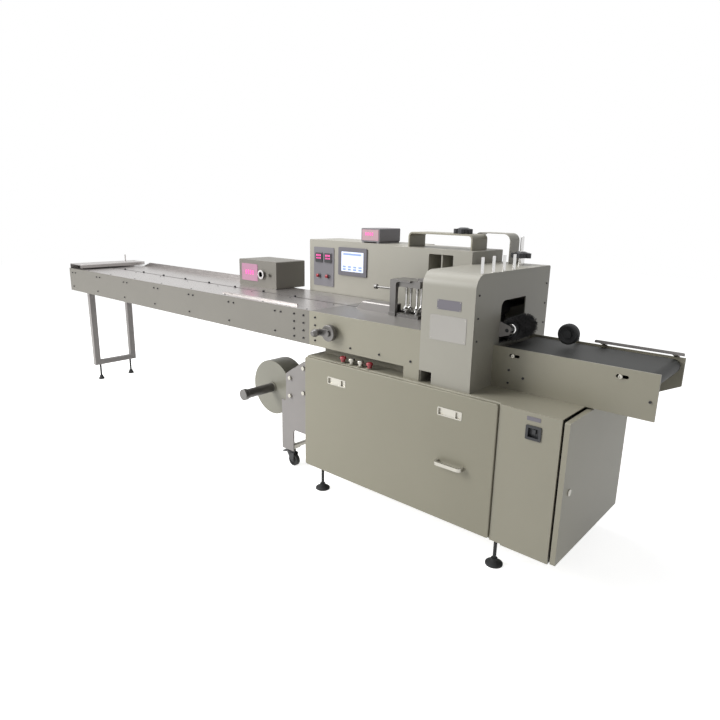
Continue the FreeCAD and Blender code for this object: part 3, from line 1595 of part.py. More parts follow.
def counter_box():
    """The counter on top of the control cabinet, on two low feet."""
    body = new_body("counter_box")
    x = (box_x[0] + s.counter_inset, box_x[0] + s.counter_inset + s.counter_width)
    low = s.box_top + s.counter_foot
    y = (box_y, box_y + s.counter_depth)
    pad(body, "xz", *y, rectangle(x, (low, s.box_top + s.counter_foot + s.counter_height), s.counter_foot))
    for start in (x[0] + s.counter_foot, x[1] - s.counter_foot * 3):
        pad(body, "xz", *y, rectangle((start, start + s.counter_foot * 2), (s.box_top, low)))


bridge_x = (hood_left - s.bridge_length - s.bridge_inset + s.hood_bend,
            hood_left - s.bridge_inset + s.hood_bend)
bridge_y = (front + s.bridge_front, front + s.bridge_front + s.bridge_depth)
bridge_middle = (bridge_x[0] + s.bridge_knob, (bridge_y[0] + bridge_y[1]) / 2)


def bent_cover(label, x, y, feet, top, skin, bend):
    """A cover bent from one sheet into an upturned U, standing on its two edges."""
    body = new_body(label)
    pad(body, "xz", *y, outline(
        (x[0], feet[0]), (x[0] + skin, feet[0]), (x[0] + skin, top - skin, bend - skin),
        (x[1] - skin, top - skin, bend - skin), (x[1] - skin, feet[1]), (x[1], feet[1]), (x[1], top, bend),
        (x[0], top, bend)))
    return body


def knob_bridge():
    """The bridge over the drive housing, with the screw that its knob turns on."""
    body = bent_cover("knob_bridge", bridge_x, bridge_y, (s.drive_top, s.drive_top),
                      s.bridge_top - s.knob_height, s.bridge_sheet, s.bridge_bend)
    x, y = bridge_middle
    top = s.bridge_top - s.knob_height
    pad(body, "xy", top, top + s.knob_height, circle(x, y, s.post_radius))


def bridge_knob():
    x, y = bridge_middle
    top = s.bridge_top - s.knob_height
    star_knob("bridge_knob", x, y, top + s.rest_gap, s.post_radius + s.running_gap)


def rear_top_cover():
    """The bent cover behind the sealer's housing top."""
    x = (hood_left - s.top_inset, hood_left - s.top_inset + s.top_length)
    y = (front + s.top_front, front + s.top_front + s.top_depth)
    feet = (s.drive_top, s.hood_top)
    bent_cover("rear_top_cover", x, y, feet, s.top_height, s.bridge_sheet / 2, s.top_bend)


def castor_forks_and_wheels():
    for name, y in zip(("front", "rear"), castor_places):
        castor_fork(f"castor_fork_{name}", y)
        castor_wheel(f"castor_wheel_{name}", y)


SUB_PARTS = (
    base_cabinet, front_cover, cover_fittings, electrical_cabinet, main_switch,
    electrical_devices, end_door, door_lock, hinge_pins, hinge_knuckles, levelling_feet,
    reel_stand_plates, reel_stand_ties, film_carrier_plates, film_guide_rollers, reel_spindle,
    film_reel, castor_forks_and_wheels, head_plates, head_pedestal, head_deck, former,
    drive_housing, sealer_hood, sealer_end_plates, sealing_jaws, hood_posts, post_knob,
    outlet_brush, fin_seal_frame, fin_seal_wheels, handwheel, push_buttons,
    discharge_plates, discharge_rollers, discharge_belt, discharge_bed, discharge_rail,
    press_wheel, discharge_brackets, infeed_plates, infeed_deck, infeed_chain,
    infeed_end_cover, infeed_guides, infeed_leg_frame, infeed_control_box, control_cabinet,
    touch_screen, instrument_panel, counter_box, knob_bridge, bridge_knob, rear_top_cover,
)

for build_sub_part in SUB_PARTS:
    build_sub_part()
document.recompute()

failed = []
for item in document.Objects:
    if {"Invalid", "Error"} & set(item.State):
        failed.append(item.Label)
if failed:
    raise RuntimeError(f"These did not build: {failed}")

os.makedirs("parts", exist_ok=True)
for body in document.findObjects("PartDesign::Body"):
    if body.Shape.isNull() or not body.Shape.isValid():
        raise RuntimeError(f"{body.Label} has no valid shape")
    body.Shape.exportStep(f"parts/{body.Label}.step")
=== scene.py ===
import math

import bpy
import numpy as np
from mathutils import Matrix, Vector


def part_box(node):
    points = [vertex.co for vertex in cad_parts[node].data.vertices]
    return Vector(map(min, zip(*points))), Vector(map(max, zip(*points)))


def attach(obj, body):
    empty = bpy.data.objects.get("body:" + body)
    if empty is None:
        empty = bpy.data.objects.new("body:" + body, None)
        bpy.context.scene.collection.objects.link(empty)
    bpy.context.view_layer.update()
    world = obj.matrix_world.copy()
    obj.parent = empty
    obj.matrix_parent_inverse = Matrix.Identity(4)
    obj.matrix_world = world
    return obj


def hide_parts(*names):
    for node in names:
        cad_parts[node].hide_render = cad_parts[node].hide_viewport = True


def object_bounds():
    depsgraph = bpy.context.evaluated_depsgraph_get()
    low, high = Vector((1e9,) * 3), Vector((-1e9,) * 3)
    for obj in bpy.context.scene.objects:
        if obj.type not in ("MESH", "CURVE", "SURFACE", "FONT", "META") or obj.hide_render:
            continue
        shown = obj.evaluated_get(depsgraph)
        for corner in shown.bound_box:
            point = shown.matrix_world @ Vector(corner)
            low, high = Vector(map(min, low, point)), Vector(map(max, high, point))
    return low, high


bl_info = {
    "name": "Horizontal flow wrapper dressing",
    "version": (1, 0, 0),
    "blender": (4, 5, 0),
    "location": "3D View > Sidebar > Wrapper",
    "description": "Dresses the packed flow wrapper with finishes, fasteners, dials, bristles and a stage",
    "category": "Object",
}

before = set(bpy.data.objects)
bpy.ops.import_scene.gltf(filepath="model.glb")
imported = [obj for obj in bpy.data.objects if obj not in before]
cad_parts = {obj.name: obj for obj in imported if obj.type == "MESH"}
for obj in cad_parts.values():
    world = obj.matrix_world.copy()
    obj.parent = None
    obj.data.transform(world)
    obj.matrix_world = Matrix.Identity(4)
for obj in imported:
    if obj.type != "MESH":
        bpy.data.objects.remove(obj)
CAD_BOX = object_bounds()
POLE = 1e-5           # radius left at the pole of a revolved face
PLATE_MIDDLE = 1e-4   # share of its outline left at the middle of a plate's face
CLOUDS = (2.3, 2.3, 2.3)   # slow changes of shade, some 0.4 m across
FOUR_PLACES = (-1.5, -0.5, 0.5, 1.5)   # four digits or keys about a centre, in pitches
BRISTLE_SEED = 7
FLOOR_HALF = 14       # half the side of the studio floor, in metres
FLOOR_GLOW = 0.8      # white added to the floor where it is seen, which leaves hardly any shadow
SKY_STRENGTH = 0.26
SENSOR_WIDTH = 36     # in millimetres


# ---------------------------------------------------------------- colours, sizes and settings

def colour(label, default):
    return bpy.props.StringProperty(name=label, description=f"{label}, as an sRGB hex value", default=default)


def length(label, default):
    return bpy.props.FloatProperty(name=label, description=f"{label} in metres", default=default,
                                   unit="LENGTH", subtype="DISTANCE")


def angle(label, default):
    return bpy.props.FloatProperty(name=label, description=label, default=math.radians(default),
                                   unit="ROTATION", subtype="ANGLE")


class WrapperColours(bpy.types.PropertyGroup):
    paint: colour("Cream machine paint", "#979383")
    pale_paint: colour("Paler paint of the head and cabinets", "#A19E93")
    door_paint: colour("Paint of the base covers", "#8E8A79")
    panel_paint: colour("Grey-green instrument sub-panel", "#77757A")
    stainless: colour("Brushed stainless steel", "#B0ACAA")
    plate_steel: colour("Blasted side plates", "#7A7770")
    dark_steel: colour("Blackened steel", "#3C3B3D")
    chrome: colour("Chromed steel", "#DAD9D8")
    zinc: colour("Zinc-plated steel", "#B4B1A8")
    casting: colour("Grey painted casting", "#918D8B")
    rubber: colour("Black rubber", "#202122")
    plastic: colour("Black moulded plastic", "#26272A")
    red: colour("Muted red of the buttons", "#A8303A")
    film: colour("Wound film edge", "#8A887B")
    glass: colour("Screen glass", "#D5DDF1")
    bezel: colour("Screen bezel", "#65636A")
    label: colour("Bare printed-label plate", "#6E6B72")
    pale_label: colour("Bare aluminium plate", "#A29F9A")
    devices: colour("Plastic of the electrical devices", "#8F9190")
    counter_case: colour("Paint of the counter's case", "#737073")
    worn_steel: colour("Worn stainless steel of the former", "#8B8886")
    deck_paint: colour("Grey paint of the head's deck", "#6E6B68")
    turned: colour("Turned steel", "#6F6D6B")
    belt: colour("Rubber belt", "#1E1F1D")
    digits: colour("Lit digits", "#E0509A")
    keys: colour("Keys on the screen", "#93A9D8")
    counter_face: colour("Counter's face", "#A98B92")
    pink_window: colour("Pink display window", "#B4829B")
    dial: colour("White dial", "#DAD6D6")
    nylon: colour("Nylon bristles", "#2C2B2C")
    floor: colour("Studio floor paper", "#F4F4F2")
    sky: colour("Soft light from all round", "#F2F3F6")


class WrapperSizes(bpy.types.PropertyGroup):
    bolt_head: length("Cap screw head radius", 0.0055)
    bolt_height: length("Cap screw head height", 0.005)
    bristle: length("Bristle tuft radius", 0.0009)
    brush_margin: length("Brush shaft end beyond its flanges", 0.045)
    plate_skin: length("Thickness of a riveted plate", 0.0012)
    azimuth: angle("Camera azimuth", 40.866)
    elevation: angle("Camera elevation", 14.403)
    roll: angle("Camera roll", 1.146)
    lens: bpy.props.FloatProperty(name="Lens", description="Camera lens in millimetres", default=29.39)
    camera_side: length("Camera's place right of the base's end door", 0.777)
    camera_ahead: length("Camera's place ahead of the base's front", 2.142)
    camera_up: length("Camera's height over the floor", 1.546)
    key_power: bpy.props.FloatProperty(name="Key light", description="Key light's power in watts",
                                       default=330)


def colours():
    return bpy.context.scene.wrapper_colours


def sizes():
    return bpy.context.scene.wrapper_sizes


def linear(hex_value):
    """An sRGB hex value as linear red, green, blue and a full alpha."""
    parts = [int(hex_value[i:i + 2], 16) / 255 for i in (1, 3, 5)]
    return [*(c / 12.92 if c <= 0.04045 else ((c + 0.055) / 1.055) ** 2.4 for c in parts), 1.0]


# ---------------------------------------------------------------- materials

def add_node(tree, kind, settings=None, links=None):
    """Adds a node, sets its properties and sockets, and links other nodes' outputs to it."""
    node = tree.nodes.new(kind)
    for name, value in (settings or {}).items():
        if isinstance(name, str) and hasattr(node, name):
            setattr(node, name, value)
        else:
            node.inputs[name].default_value = value
    for name, source in (links or {}).items():
        tree.links.new(source, node.inputs[name])
    return node


def scaled(tree, stretch):
    """Object coordinates, stretched along each axis by the number of pattern cells a metre."""
    place = add_node(tree, "ShaderNodeTexCoord")
    return add_node(tree, "ShaderNodeMapping", {"Scale": stretch}, {"Vector": place.outputs["Object"]})


def surface(name, base, metallic, roughness, grain, bump, shade=0.06, rough_spread=0.08, coat=0.0,
            emission=0.0):
    """A finish whose grain (cells a metre along X, Y and Z) varies its colour, gloss and relief."""
    material = bpy.data.materials.get(name)
    if material:
        return material
    material = bpy.data.materials.new(name)
    material.use_nodes = True
    tree = material.node_tree
    tree.nodes.clear()
    grain_place = scaled(tree, grain)
    fine = add_node(tree, "ShaderNodeTexNoise", {"Scale": 1.0, "Detail": 3.0, "Roughness": 0.55},
                    {"Vector": grain_place.outputs["Vector"]})
    cloud_place = scaled(tree, CLOUDS)
    cloud = add_node(tree, "ShaderNodeTexNoise", {"Scale": 1.0, "Detail": 4.0, "Roughness": 0.6},
                     {"Vector": cloud_place.outputs["Vector"]})
    rgb = linear(base)
    low = [max(0.0, c * (1 - shade * 2.2)) for c in rgb[:3]] + [1.0]
    high = [min(1.0, c * (1 + shade)) for c in rgb[:3]] + [1.0]
    tint = add_node(tree, "ShaderNodeMix", {"data_type": "RGBA"})
    tint.inputs[6].default_value = low
    tint.inputs[7].default_value = high
    tree.links.new(cloud.outputs["Fac"], tint.inputs[0])
    gloss = add_node(tree, "ShaderNodeMapRange",
                     {"To Min": max(0.02, roughness - rough_spread),
                      "To Max": min(1.0, roughness + rough_spread)},
                     {"Value": fine.outputs["Fac"]})
    relief = add_node(tree, "ShaderNodeBump", {"Strength": bump, "Distance": 0.0004},
                      {"Height": fine.outputs["Fac"]})
    shader = add_node(tree, "ShaderNodeBsdfPrincipled",
                      {"Metallic": metallic, "Coat Weight": coat, "Coat Roughness": 0.25,
                       "Emission Color": rgb, "Emission Strength": emission},
                      {"Base Color": tint.outputs[2], "Roughness": gloss.outputs["Result"],
                       "Normal": relief.outputs["Normal"]})
    add_node(tree, "ShaderNodeOutputMaterial", {}, {"Surface": shader.outputs["BSDF"]})
    return material


def powder_coat(name, base):
    """Powder-coated sheet steel: a fine orange-peel relief of about 2 mm and a satin gloss."""
    return surface(name, base, 0.0, 0.42, (480, 480, 480), 0.10, shade=0.035)


def brushed(name, base, along="x", roughness=0.3):
    """Brushed stainless: scratches some 60 mm long and about 1 mm apart, drawn along the rolling."""
    stretch = {"x": (16, 900, 900), "y": (900, 16, 900), "z": (900, 900, 16)}[along]
    return surface(name, base, 0.85, roughness, stretch, 0.12, shade=0.05, rough_spread=0.1)


def blasted_plate():
    """Bead-blasted steel plate: an even, fine-grained grey with a broad highlight."""
    return surface("bead_blasted_steel", colours().plate_steel, 0.35, 0.48, (700, 700, 700), 0.1)


def blackened_steel():
    """Oil-blackened steel: nearly black, with a soft sheen."""
    return surface("blackened_steel", colours().dark_steel, 0.6, 0.38, (600, 600, 600), 0.08)


def turned_steel():
    """Turned and milled steel under oil: mid grey, with tool marks half a millimetre apart."""
    return surface("turned_steel", colours().turned, 0.75, 0.33, (1800, 1800, 1800), 0.08)


def chrome_plate():
    """Bright chrome plate: a near mirror with faint polishing haze."""
    return surface("chrome_plate", colours().chrome, 1.0, 0.12, (300, 300, 300), 0.02, shade=0.02,
                   rough_spread=0.04)


def zinc_plate():
    """Zinc-plated steel: pale, slightly mottled by its passivation."""
    return surface("zinc_plated_steel", colours().zinc, 0.8, 0.34, (420, 420, 420), 0.05)


def cast_paint():
    """Paint over a sand casting: the sand's 1 mm grain shows through."""
    return surface("painted_casting", colours().casting, 0.0, 0.5, (900, 900, 900), 0.22)


def moulded_rubber():
    """Moulded rubber: matt black with a dusty bloom."""
    return surface("moulded_rubber", colours().rubber, 0.0, 0.68, (600, 600, 600), 0.14, shade=0.15)


def moulded_plastic():
    """Injection-moulded black plastic: a fine spark-eroded texture."""
    return surface("moulded_black_plastic", colours().plastic, 0.0, 0.4, (1100, 1100, 1100), 0.09)


def red_plastic():
    """Red thermoplastic of the button caps: glossy from a polished mould."""
    return surface("red_button_plastic", colours().red, 0.0, 0.25, (500, 500, 500), 0.02, coat=0.3)


def wound_film():
    """The roll's edge: thousands of film layers, seen as fine rings."""
    return surface("wound_film", colours().film, 0.0, 0.4, (90, 900, 90), 0.06, shade=0.08, coat=0.15)


def belt_rubber():
    """The belt's woven rubber face, with a 2 mm cloth pattern."""
    return surface("belt_rubber", colours().belt, 0.0, 0.6, (500, 500, 500), 0.25, shade=0.1)


def screen_glass():
    """The lit display behind its glass."""
    return surface("lit_display", colours().glass, 0.0, 0.2, (60, 60, 60), 0.0, shade=0.04, coat=0.6,
                   emission=0.55)


def digit_light():
    """Lit display digits."""
    return surface("lit_digits", colours().digits, 0.0, 0.3, (60, 60, 60), 0.0, shade=0.02, emission=1.1)


def pink_window():
    """Tinted acrylic of the infeed's display window, faintly lit from behind."""
    return surface("pink_display", colours().pink_window, 0.0, 0.3, (80, 80, 80), 0.0, coat=0.3, emission=0.1)


def dial_plastic():
    """White plastic of the speed dial, moulded with a fine texture."""
    return surface("white_dial_plastic", colours().dial, 0.0, 0.35, (300, 300, 300), 0.02)


def nylon():
    """Extruded black nylon of the bristles."""
    return surface("nylon_bristle", colours().nylon, 0.0, 0.5, (800, 800, 800), 0.05, shade=0.2)


def bare_plate(name, base):
    """A thin anodised plate left bare."""
    return surface(name, base, 0.3, 0.4, (500, 40, 500), 0.05)


def node_finishes():
    """Which finish each CAD node wears."""
    c = colours()
    paint = powder_coat("cream_powder_coat", c.paint)
    pale = powder_coat("pale_powder_coat", c.pale_paint)
    door = powder_coat("cover_powder_coat", c.door_paint)
    steel = brushed("brushed_stainless", c.stainless)
    table = {
        paint: ("base_cabinet", "electrical_cabinet", "end_door", "discharge_plates", "head_plates",
                "head_pedestal", "knob_bridge", "discharge_bed"),
        pale: ("sealer_hood", "sealer_end_plates", "drive_housing", "rear_top_cover", "control_cabinet"),
        door: ("front_cover",),
        powder_coat("device_plastic", c.devices): ("electrical_devices",),
        steel: ("infeed_deck", "infeed_guides", "infeed_end_cover", "discharge_rail"),
        brushed("worn_stainless", c.worn_steel, roughness=0.4): ("former",),
        blasted_plate(): ("infeed_plates", "infeed_control_box"),
        powder_coat("grey_deck_paint", c.deck_paint): ("head_deck",),
        blackened_steel(): ("infeed_chain", "discharge_rollers", "sealing_jaws"),
        chrome_plate(): ("hood_posts", "fin_seal_wheels"),
        turned_steel(): ("handwheel", "fin_seal_frame", "reel_spindle"),
        zinc_plate(): ("cover_fittings", "hinge_pins", "hinge_knuckles", "door_lock", "reel_stand_ties",
                       "film_guide_rollers", "push_button_2", "push_button_3"),
        cast_paint(): ("reel_stand_plates", "film_carrier_plates", "infeed_leg_frame", "discharge_brackets"),
        moulded_rubber(): ("levelling_feet", "press_wheel", "castor_wheel_front", "castor_wheel_rear"),
        moulded_plastic(): ("castor_fork_front", "castor_fork_rear", "main_switch", "post_knob",
                            "bridge_knob", "outlet_brush"),
        powder_coat("counter_case_paint", c.counter_case): ("counter_box",),
        red_plastic(): ("push_button_1", "push_button_4"),
        wound_film(): ("film_reel",),
        belt_rubber(): ("discharge_belt",),
        powder_coat("bezel_plastic", c.bezel): ("touch_screen",),
        powder_coat("sub_panel_paint", c.panel_paint): ("instrument_panel",),
    }
    return {node: material for material, nodes in table.items() for node in nodes}


# ---------------------------------------------------------------- meshes


def put_mesh(name, points, faces, material, body, smooth=False):
    """Makes one object from arrays of points and quads, and rides it on a body."""
    mesh = bpy.data.meshes.new(name)
    mesh.from_pydata(np.asarray(points, float).reshape(-1, 3).tolist(), [], np.asarray(faces, int).tolist())
    mesh.polygons.foreach_set("use_smooth", [smooth] * len(mesh.polygons))
    mesh.materials.append(material)
    mesh.update()
    piece = bpy.data.objects.new(name, mesh)
    bpy.context.scene.collection.objects.link(piece)
    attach(piece, body)
    return piece


def grid_faces(rows, columns, wrap):
    """Quads over a grid of rows and columns; wrap joins the last column to the first."""
    i, j = np.meshgrid(np.arange(rows - 1), np.arange(columns if wrap else columns - 1), indexing="ij")
    after = (j + 1) % columns
    return np.stack([i * columns + j, i * columns + after, (i + 1) * columns + after, (i + 1) * columns + j],
                    axis=-1).reshape(-1, 4)


def frames_for(axis):
    """Two directions square to an axis, right-handed with it."""
    axis = np.asarray(axis, float)
    side = np.array([0.0, 0.0, 1.0]) if abs(axis[2]) < 0.5 else np.array([1.0, 0.0, 0.0])
    first = np.cross(side, axis)
    first /= np.linalg.norm(first)
    return first, np.cross(axis, first)


def revolved(centre, axis, profile, sides=20):
    """Points and faces of a profile of (radius, along) carried round an axis: each point is
    centre + along * axis + radius * (cos t * first + sin t * second)."""
    profile = np.asarray(profile, float)
    first, second = frames_for(axis)
    t = np.arange(sides) * 2 * math.pi / sides
    ring = np.cos(t)[:, None] * first + np.sin(t)[:, None] * second
    points = (np.asarray(centre, float) + profile[:, 1, None, None] * np.asarray(axis, float)
              + profile[:, 0, None, None] * ring[None])
    return points.reshape(-1, 3), grid_faces(len(profile), sides, True)


def merged(shapes):
    """Several (points, faces) shapes as one."""
    points, faces, start = [], [], 0
    for some_points, some_faces in shapes:
        points.append(some_points)
        faces.append(some_faces + start)
        start += len(some_points)
    return np.concatenate(points), np.concatenate(faces)


def cap_screw(centre, axis, radius, height):
    """A socket cap screw's head: a rounded rim, and a socket sunk into its top."""
    profile = [(POLE, 0), (radius, 0), (radius, height * 0.85), (radius * 0.9, height),
               (radius * 0.55, height), (radius * 0.5, height * 0.5), (POLE, height * 0.5)]
    return revolved(centre, axis, profile, 14)


def rounded_plate(centre, right, up, width, height, depth, corner, steps=5):
    """A plate with rounded corners and a softened rim: its outline is the corners of a smaller
    rectangle plus a quarter circle at each, and five scaled copies of it run from back to front."""
    right, up = np.asarray(right, float), np.asarray(up, float)
    out = np.cross(right, up)
    t = np.linspace(0, math.pi / 2, steps)
    quarter = np.stack([np.cos(t), np.sin(t)], axis=-1)
    turns = [np.array([[1, 0], [0, 1]]), np.array([[0, 1], [-1, 0]]), np.array([[-1, 0], [0, -1]]),
             np.array([[0, -1], [1, 0]])]
    corners = np.array([[1, 1], [-1, 1], [-1, -1], [1, -1]]) * [width / 2 - corner, height / 2 - corner]
    edge = np.concatenate([c + corner * quarter @ m for c, m in zip(corners, turns)])
    rings = [(PLATE_MIDDLE, 0.0), (1.0, 0.0), (1.0, depth * 0.6),
             (1 - depth * 0.5 / max(width, height), depth), (PLATE_MIDDLE, depth)]
    points = np.concatenate([centre + scale * (edge[:, :1] * right + edge[:, 1:] * up) + rise * out
                             for scale, rise in rings])
    return points, grid_faces(len(rings), len(edge), True)


def digit_row(centre, places, pitch, size):
    """Small plates side by side: one at centre + place * pitch along X for each place."""
    return [rounded_plate(centre + [place * pitch, 0.0, 0.0], X, Z, *size) for place in places]


def middle(low, high):
    return (low + high) / 2


X, Y, Z = np.eye(3)


# ---------------------------------------------------------------- operators

class WRAPPER_OT_finishes(bpy.types.Operator):
    """Gives every CAD node its finish"""
    bl_idname = "wrapper.finishes"
    bl_label = "Finishes"

    def execute(self, context):
        finishes = node_finishes()
        for name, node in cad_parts.items():
            if name not in finishes:
                raise RuntimeError(f"{name} has no finish")
            node.data.materials.clear()
            node.data.materials.append(finishes[name])
        return {"FINISHED"}


class WRAPPER_OT_fasteners(bpy.types.Operator):
    """Cap screws on the side plates, the covers and the housings"""
    bl_idname = "wrapper.fasteners"
    bl_label = "Fasteners"

    def execute(self, context):
        radius, height = sizes().bolt_head, sizes().bolt_height
        low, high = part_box("infeed_plates")
        head_low, head_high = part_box("head_plates")
        out_low, out_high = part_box("discharge_plates")
        hood_low, hood_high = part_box("sealer_hood")
        drive_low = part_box("drive_housing")[0]
        edge, pair, upper_row, lower_row = 0.03, 0.05, 0.82, 0.2
        row_start, row_end, row_count = 0.06, 0.28, 7
        joint_columns, column_count = (-0.045, 0.045, -0.12), 4
        head_start, head_count = 0.3, 3
        out_column, out_levels, out_near, out_end = 0.085, (0.089, 0.03), (0.155, 0.064), (0.024, 0.077)
        slot_starts, slot_level, into_slot = (0.088, 0.55), 0.926, 0.012
        window_side, window_inset, window_foot, sunk = 0.185, 0.022, 1.236, 0.006
        hood_levels, deck_start, deck_count, deck_side = (1.0, 1.1, 1.2), 0.3, 8, 0.02
        slot_scale, hood_scale, deck_scale = (1.6, 1.4), (0.8, 0.7), (0.9, 0.4)
        top, bottom = low.z + (high.z - low.z) * upper_row, low.z + (high.z - low.z) * lower_row
        places = []
        for x in np.linspace(low.x + row_start, high.x - row_end, row_count):
            places += [(x, low.y, top), (x + pair, low.y, top), (x, low.y, bottom)]
        levels = np.linspace(low.z + edge, high.z - edge, column_count)
        for column in joint_columns:
            places += [(high.x + column, low.y, z) for z in levels]
        places += [(x, low.y, head_low.z + edge)
                   for x in np.linspace(head_low.x + head_start, head_high.x - pair, head_count)]
        places += [(out_low.x + out_column, out_low.y, out_low.z + level) for level in out_levels]
        places += [(out_low.x + out_near[0], out_low.y, out_low.z + out_near[1]),
                   (out_high.x - out_end[0], out_low.y, out_low.z + out_end[1])]
        shapes = [cap_screw(p, -Y, radius, height) for p in places]
        slots = [(out_low.x + start + into_slot, out_low.y, slot_level) for start in slot_starts]
        screws = [cap_screw(p, -Y, radius * slot_scale[0], height * slot_scale[1]) for p in slots]
        put_mesh("slot_screws", *merged(screws), zinc_plate(), "machine")
        window_bar = hood_low.x - window_side
        shapes += [cap_screw((window_bar + d, drive_low.y + sunk, window_foot), -Y, radius, height)
                   for d in (-window_inset, window_inset)]
        shapes += [cap_screw((hood_high.x, y, z), X, radius * hood_scale[0], height * hood_scale[1])
                   for y in (hood_low.y + edge, hood_high.y - edge) for z in hood_levels]
        deck_low, deck_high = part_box("infeed_deck")
        shapes += [cap_screw((x, y, deck_high.z), Z, radius * deck_scale[0], height * deck_scale[1])
                   for x in np.linspace(deck_low.x + deck_start, deck_high.x - pair, deck_count)
                   for y in (deck_low.y + deck_side, middle(deck_low.y, deck_high.y) - pair)]
        put_mesh("cap_screws", *merged(shapes), blackened_steel(), "machine")
        return {"FINISHED"}


class WRAPPER_OT_plates(bpy.types.Operator):
    """The bare plates: two riveted to the sealer hood, and one on the end panel"""
    bl_idname = "wrapper.plates"
    bl_label = "Bare plates"

    def execute(self, context):
        hood_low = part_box("sealer_hood")[0]
        door_low, door_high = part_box("end_door")
        skin, corner, rivet_out, rivet_up = sizes().plate_skin, 0.004, 0.46, 0.4
        rating_inset, rating_level, rating_size, rating_corner = 0.1485, 0.7435, (0.059, 0.017), 0.002
        label = bare_plate("anodised_label", colours().label)
        pale = bare_plate("anodised_pale_plate", colours().pale_label)
        # each plate's middle along X, its level, width and height
        small = (door_high.x - 0.5975, 1.146, 0.125, 0.044)
        wide = (door_high.x - 0.5985, 1.0415, 0.189, 0.115)
        for name, plate, material in (("name_plate", small, label), ("notice_plate", wide, pale)):
            x, z, width, height = plate
            centre = np.array([x, hood_low.y, z])
            put_mesh(name, *rounded_plate(centre, X, Z, width, height, skin, corner), material, "machine")
        rivet_radius, rivet_height = 0.0022, 0.001
        rivets = [cap_screw((x + i * width * rivet_out, hood_low.y - skin, z + k * height * rivet_up), -Y,
                            rivet_radius, rivet_height)
                  for x, z, width, height in (small, wide) for i in (-1, 1) for k in (-1, 1)]
        put_mesh("plate_rivets", *merged(rivets), zinc_plate(), "machine", smooth=True)
        panel = np.array([door_high.x - rating_inset, door_low.y, rating_level])
        rating = rounded_plate(panel, X, Z, *rating_size, skin, rating_corner)
        put_mesh("rating_plate", *rating, label, "machine")
        return {"FINISHED"}


class WRAPPER_OT_displays(bpy.types.Operator):
    """The touch screen's lit face, and the dials, digits and caps of the instruments"""
    bl_idname = "wrapper.displays"
    bl_label = "Displays"

    def execute(self, context):
        low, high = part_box("touch_screen")
        glass_sunk, glass_size = 0.0021, (0.183, 0.122, 0.0015, 0.003)
        key_proud, key_size, title_size = -0.0016, (0.026, 0.011, 0.0004, 0.002), (0.15, 0.012, 0.0004, 0.002)
        key_columns, key_rows, title_row = np.linspace(-0.066, 0.066, 4), (-0.048, -0.032), 0.046
        centre = np.array([middle(low.x, high.x), low.y + glass_sunk, middle(low.z, high.z)])
        put_mesh("screen_glass", *rounded_plate(centre, X, Z, *glass_size), screen_glass(), "machine")
        soft = bare_plate("screen_keys", colours().keys)
        keys = [rounded_plate(centre + [dx, key_proud, dz], X, Z, *key_size)
                for dx in key_columns for dz in key_rows]
        keys += [rounded_plate(centre + [0, key_proud, title_row], X, Z, *title_size)]
        put_mesh("screen_keys", *merged(keys), soft, "machine")
        self.add_instruments()
        self.add_counter()
        self.add_control_box()
        return {"FINISHED"}

    def add_instruments(self):
        """Two controllers side by side, with two rows of lit digits each, over two rotary caps."""
        low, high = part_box("instrument_panel")
        side_place, edge_place, pitch = 0.041, 0.066, 0.011
        face_proud, digit_proud, cap_proud = 0.008, 0.011, 0.017
        face_size, rows = (0.06, 0.06, 0.003, 0.004), ((0.014, 0.013), (-0.004, 0.009))
        cap_profile = [(POLE, 0), (0.012, 0), (0.011, 0.006), (0.005, 0.009), (POLE, 0.009)]
        bodies, digits, caps = [], [], []
        for side in (-1, 1):
            x, z = middle(low.x, high.x) + side * side_place, high.z - edge_place
            bodies.append(rounded_plate(np.array([x, high.y - face_proud, z]), X, Z, *face_size))
            for row, tall in rows:
                digits += digit_row(np.array([x, high.y - digit_proud, z + row]), FOUR_PLACES, pitch,
                                    (0.006, tall, 0.0006, 0.001))
            caps.append(revolved((x, high.y - cap_proud, low.z + edge_place), -Y, cap_profile, 24))
        put_mesh("controller_faces", *merged(bodies), moulded_plastic(), "machine")
        put_mesh("controller_digits", *merged(digits), digit_light(), "machine")
        put_mesh("rotary_switch_caps", *merged(caps), red_plastic(), "machine", smooth=True)

    def add_counter(self):
        """The counter's face plate, a share of its box, with four lit digits left of its middle."""
        low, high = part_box("counter_box")
        rise, wide, tall, skin, corner = 0.004, 0.9, 0.74, 0.002, 0.004
        places, pitch, digit_size = (-2, -1, 0, 1), 0.017, (0.009, 0.018, 0.0006, 0.0015)
        digit_rise = 0.006
        centre = np.array([middle(low.x, high.x), low.y, middle(low.z, high.z) + rise])
        face = bare_plate("counter_face", colours().counter_face)
        plate = rounded_plate(centre, X, Z, (high.x - low.x) * wide, (high.z - low.z) * tall, skin, corner)
        put_mesh("counter_face", *plate, face, "machine")
        digits = digit_row(centre + [0.0, -skin, digit_rise], places, pitch, digit_size)
        put_mesh("counter_digits", *merged(digits), digit_light(), "machine")

    def add_control_box(self):
        """The infeed box's pink window with four lit digits, and the white ring of its speed dial."""
        low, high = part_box("infeed_control_box")
        inset, sunk, rise, pane_size = 0.115, 0.016, 0.005, (0.17, 0.115, 0.003, 0.005)
        pitch, digit_size, dial_place = 0.024, (0.012, 0.03, 0.0006, 0.002), 0.054
        centre = np.array([low.x + inset, low.y + sunk, middle(low.z, high.z) + rise])
        put_mesh("infeed_display", *rounded_plate(centre, X, Z, *pane_size), pink_window(), "machine")
        digits = digit_row(centre + [0.0, -pane_size[2], 0.0], FOUR_PLACES, pitch, digit_size)
        put_mesh("infeed_digits", *merged(digits), digit_light(), "machine")
        profile = [(POLE, 0), (0.03, 0), (0.03, 0.002), (0.0195, 0.003), (0.018, 0.0), (POLE, 0.0)]
        place = (middle(low.x, high.x) + dial_place, low.y, middle(low.z, high.z))
        shape = revolved(place, -Y, profile, 32)
        put_mesh("speed_dial", *shape, dial_plastic(), "machine")


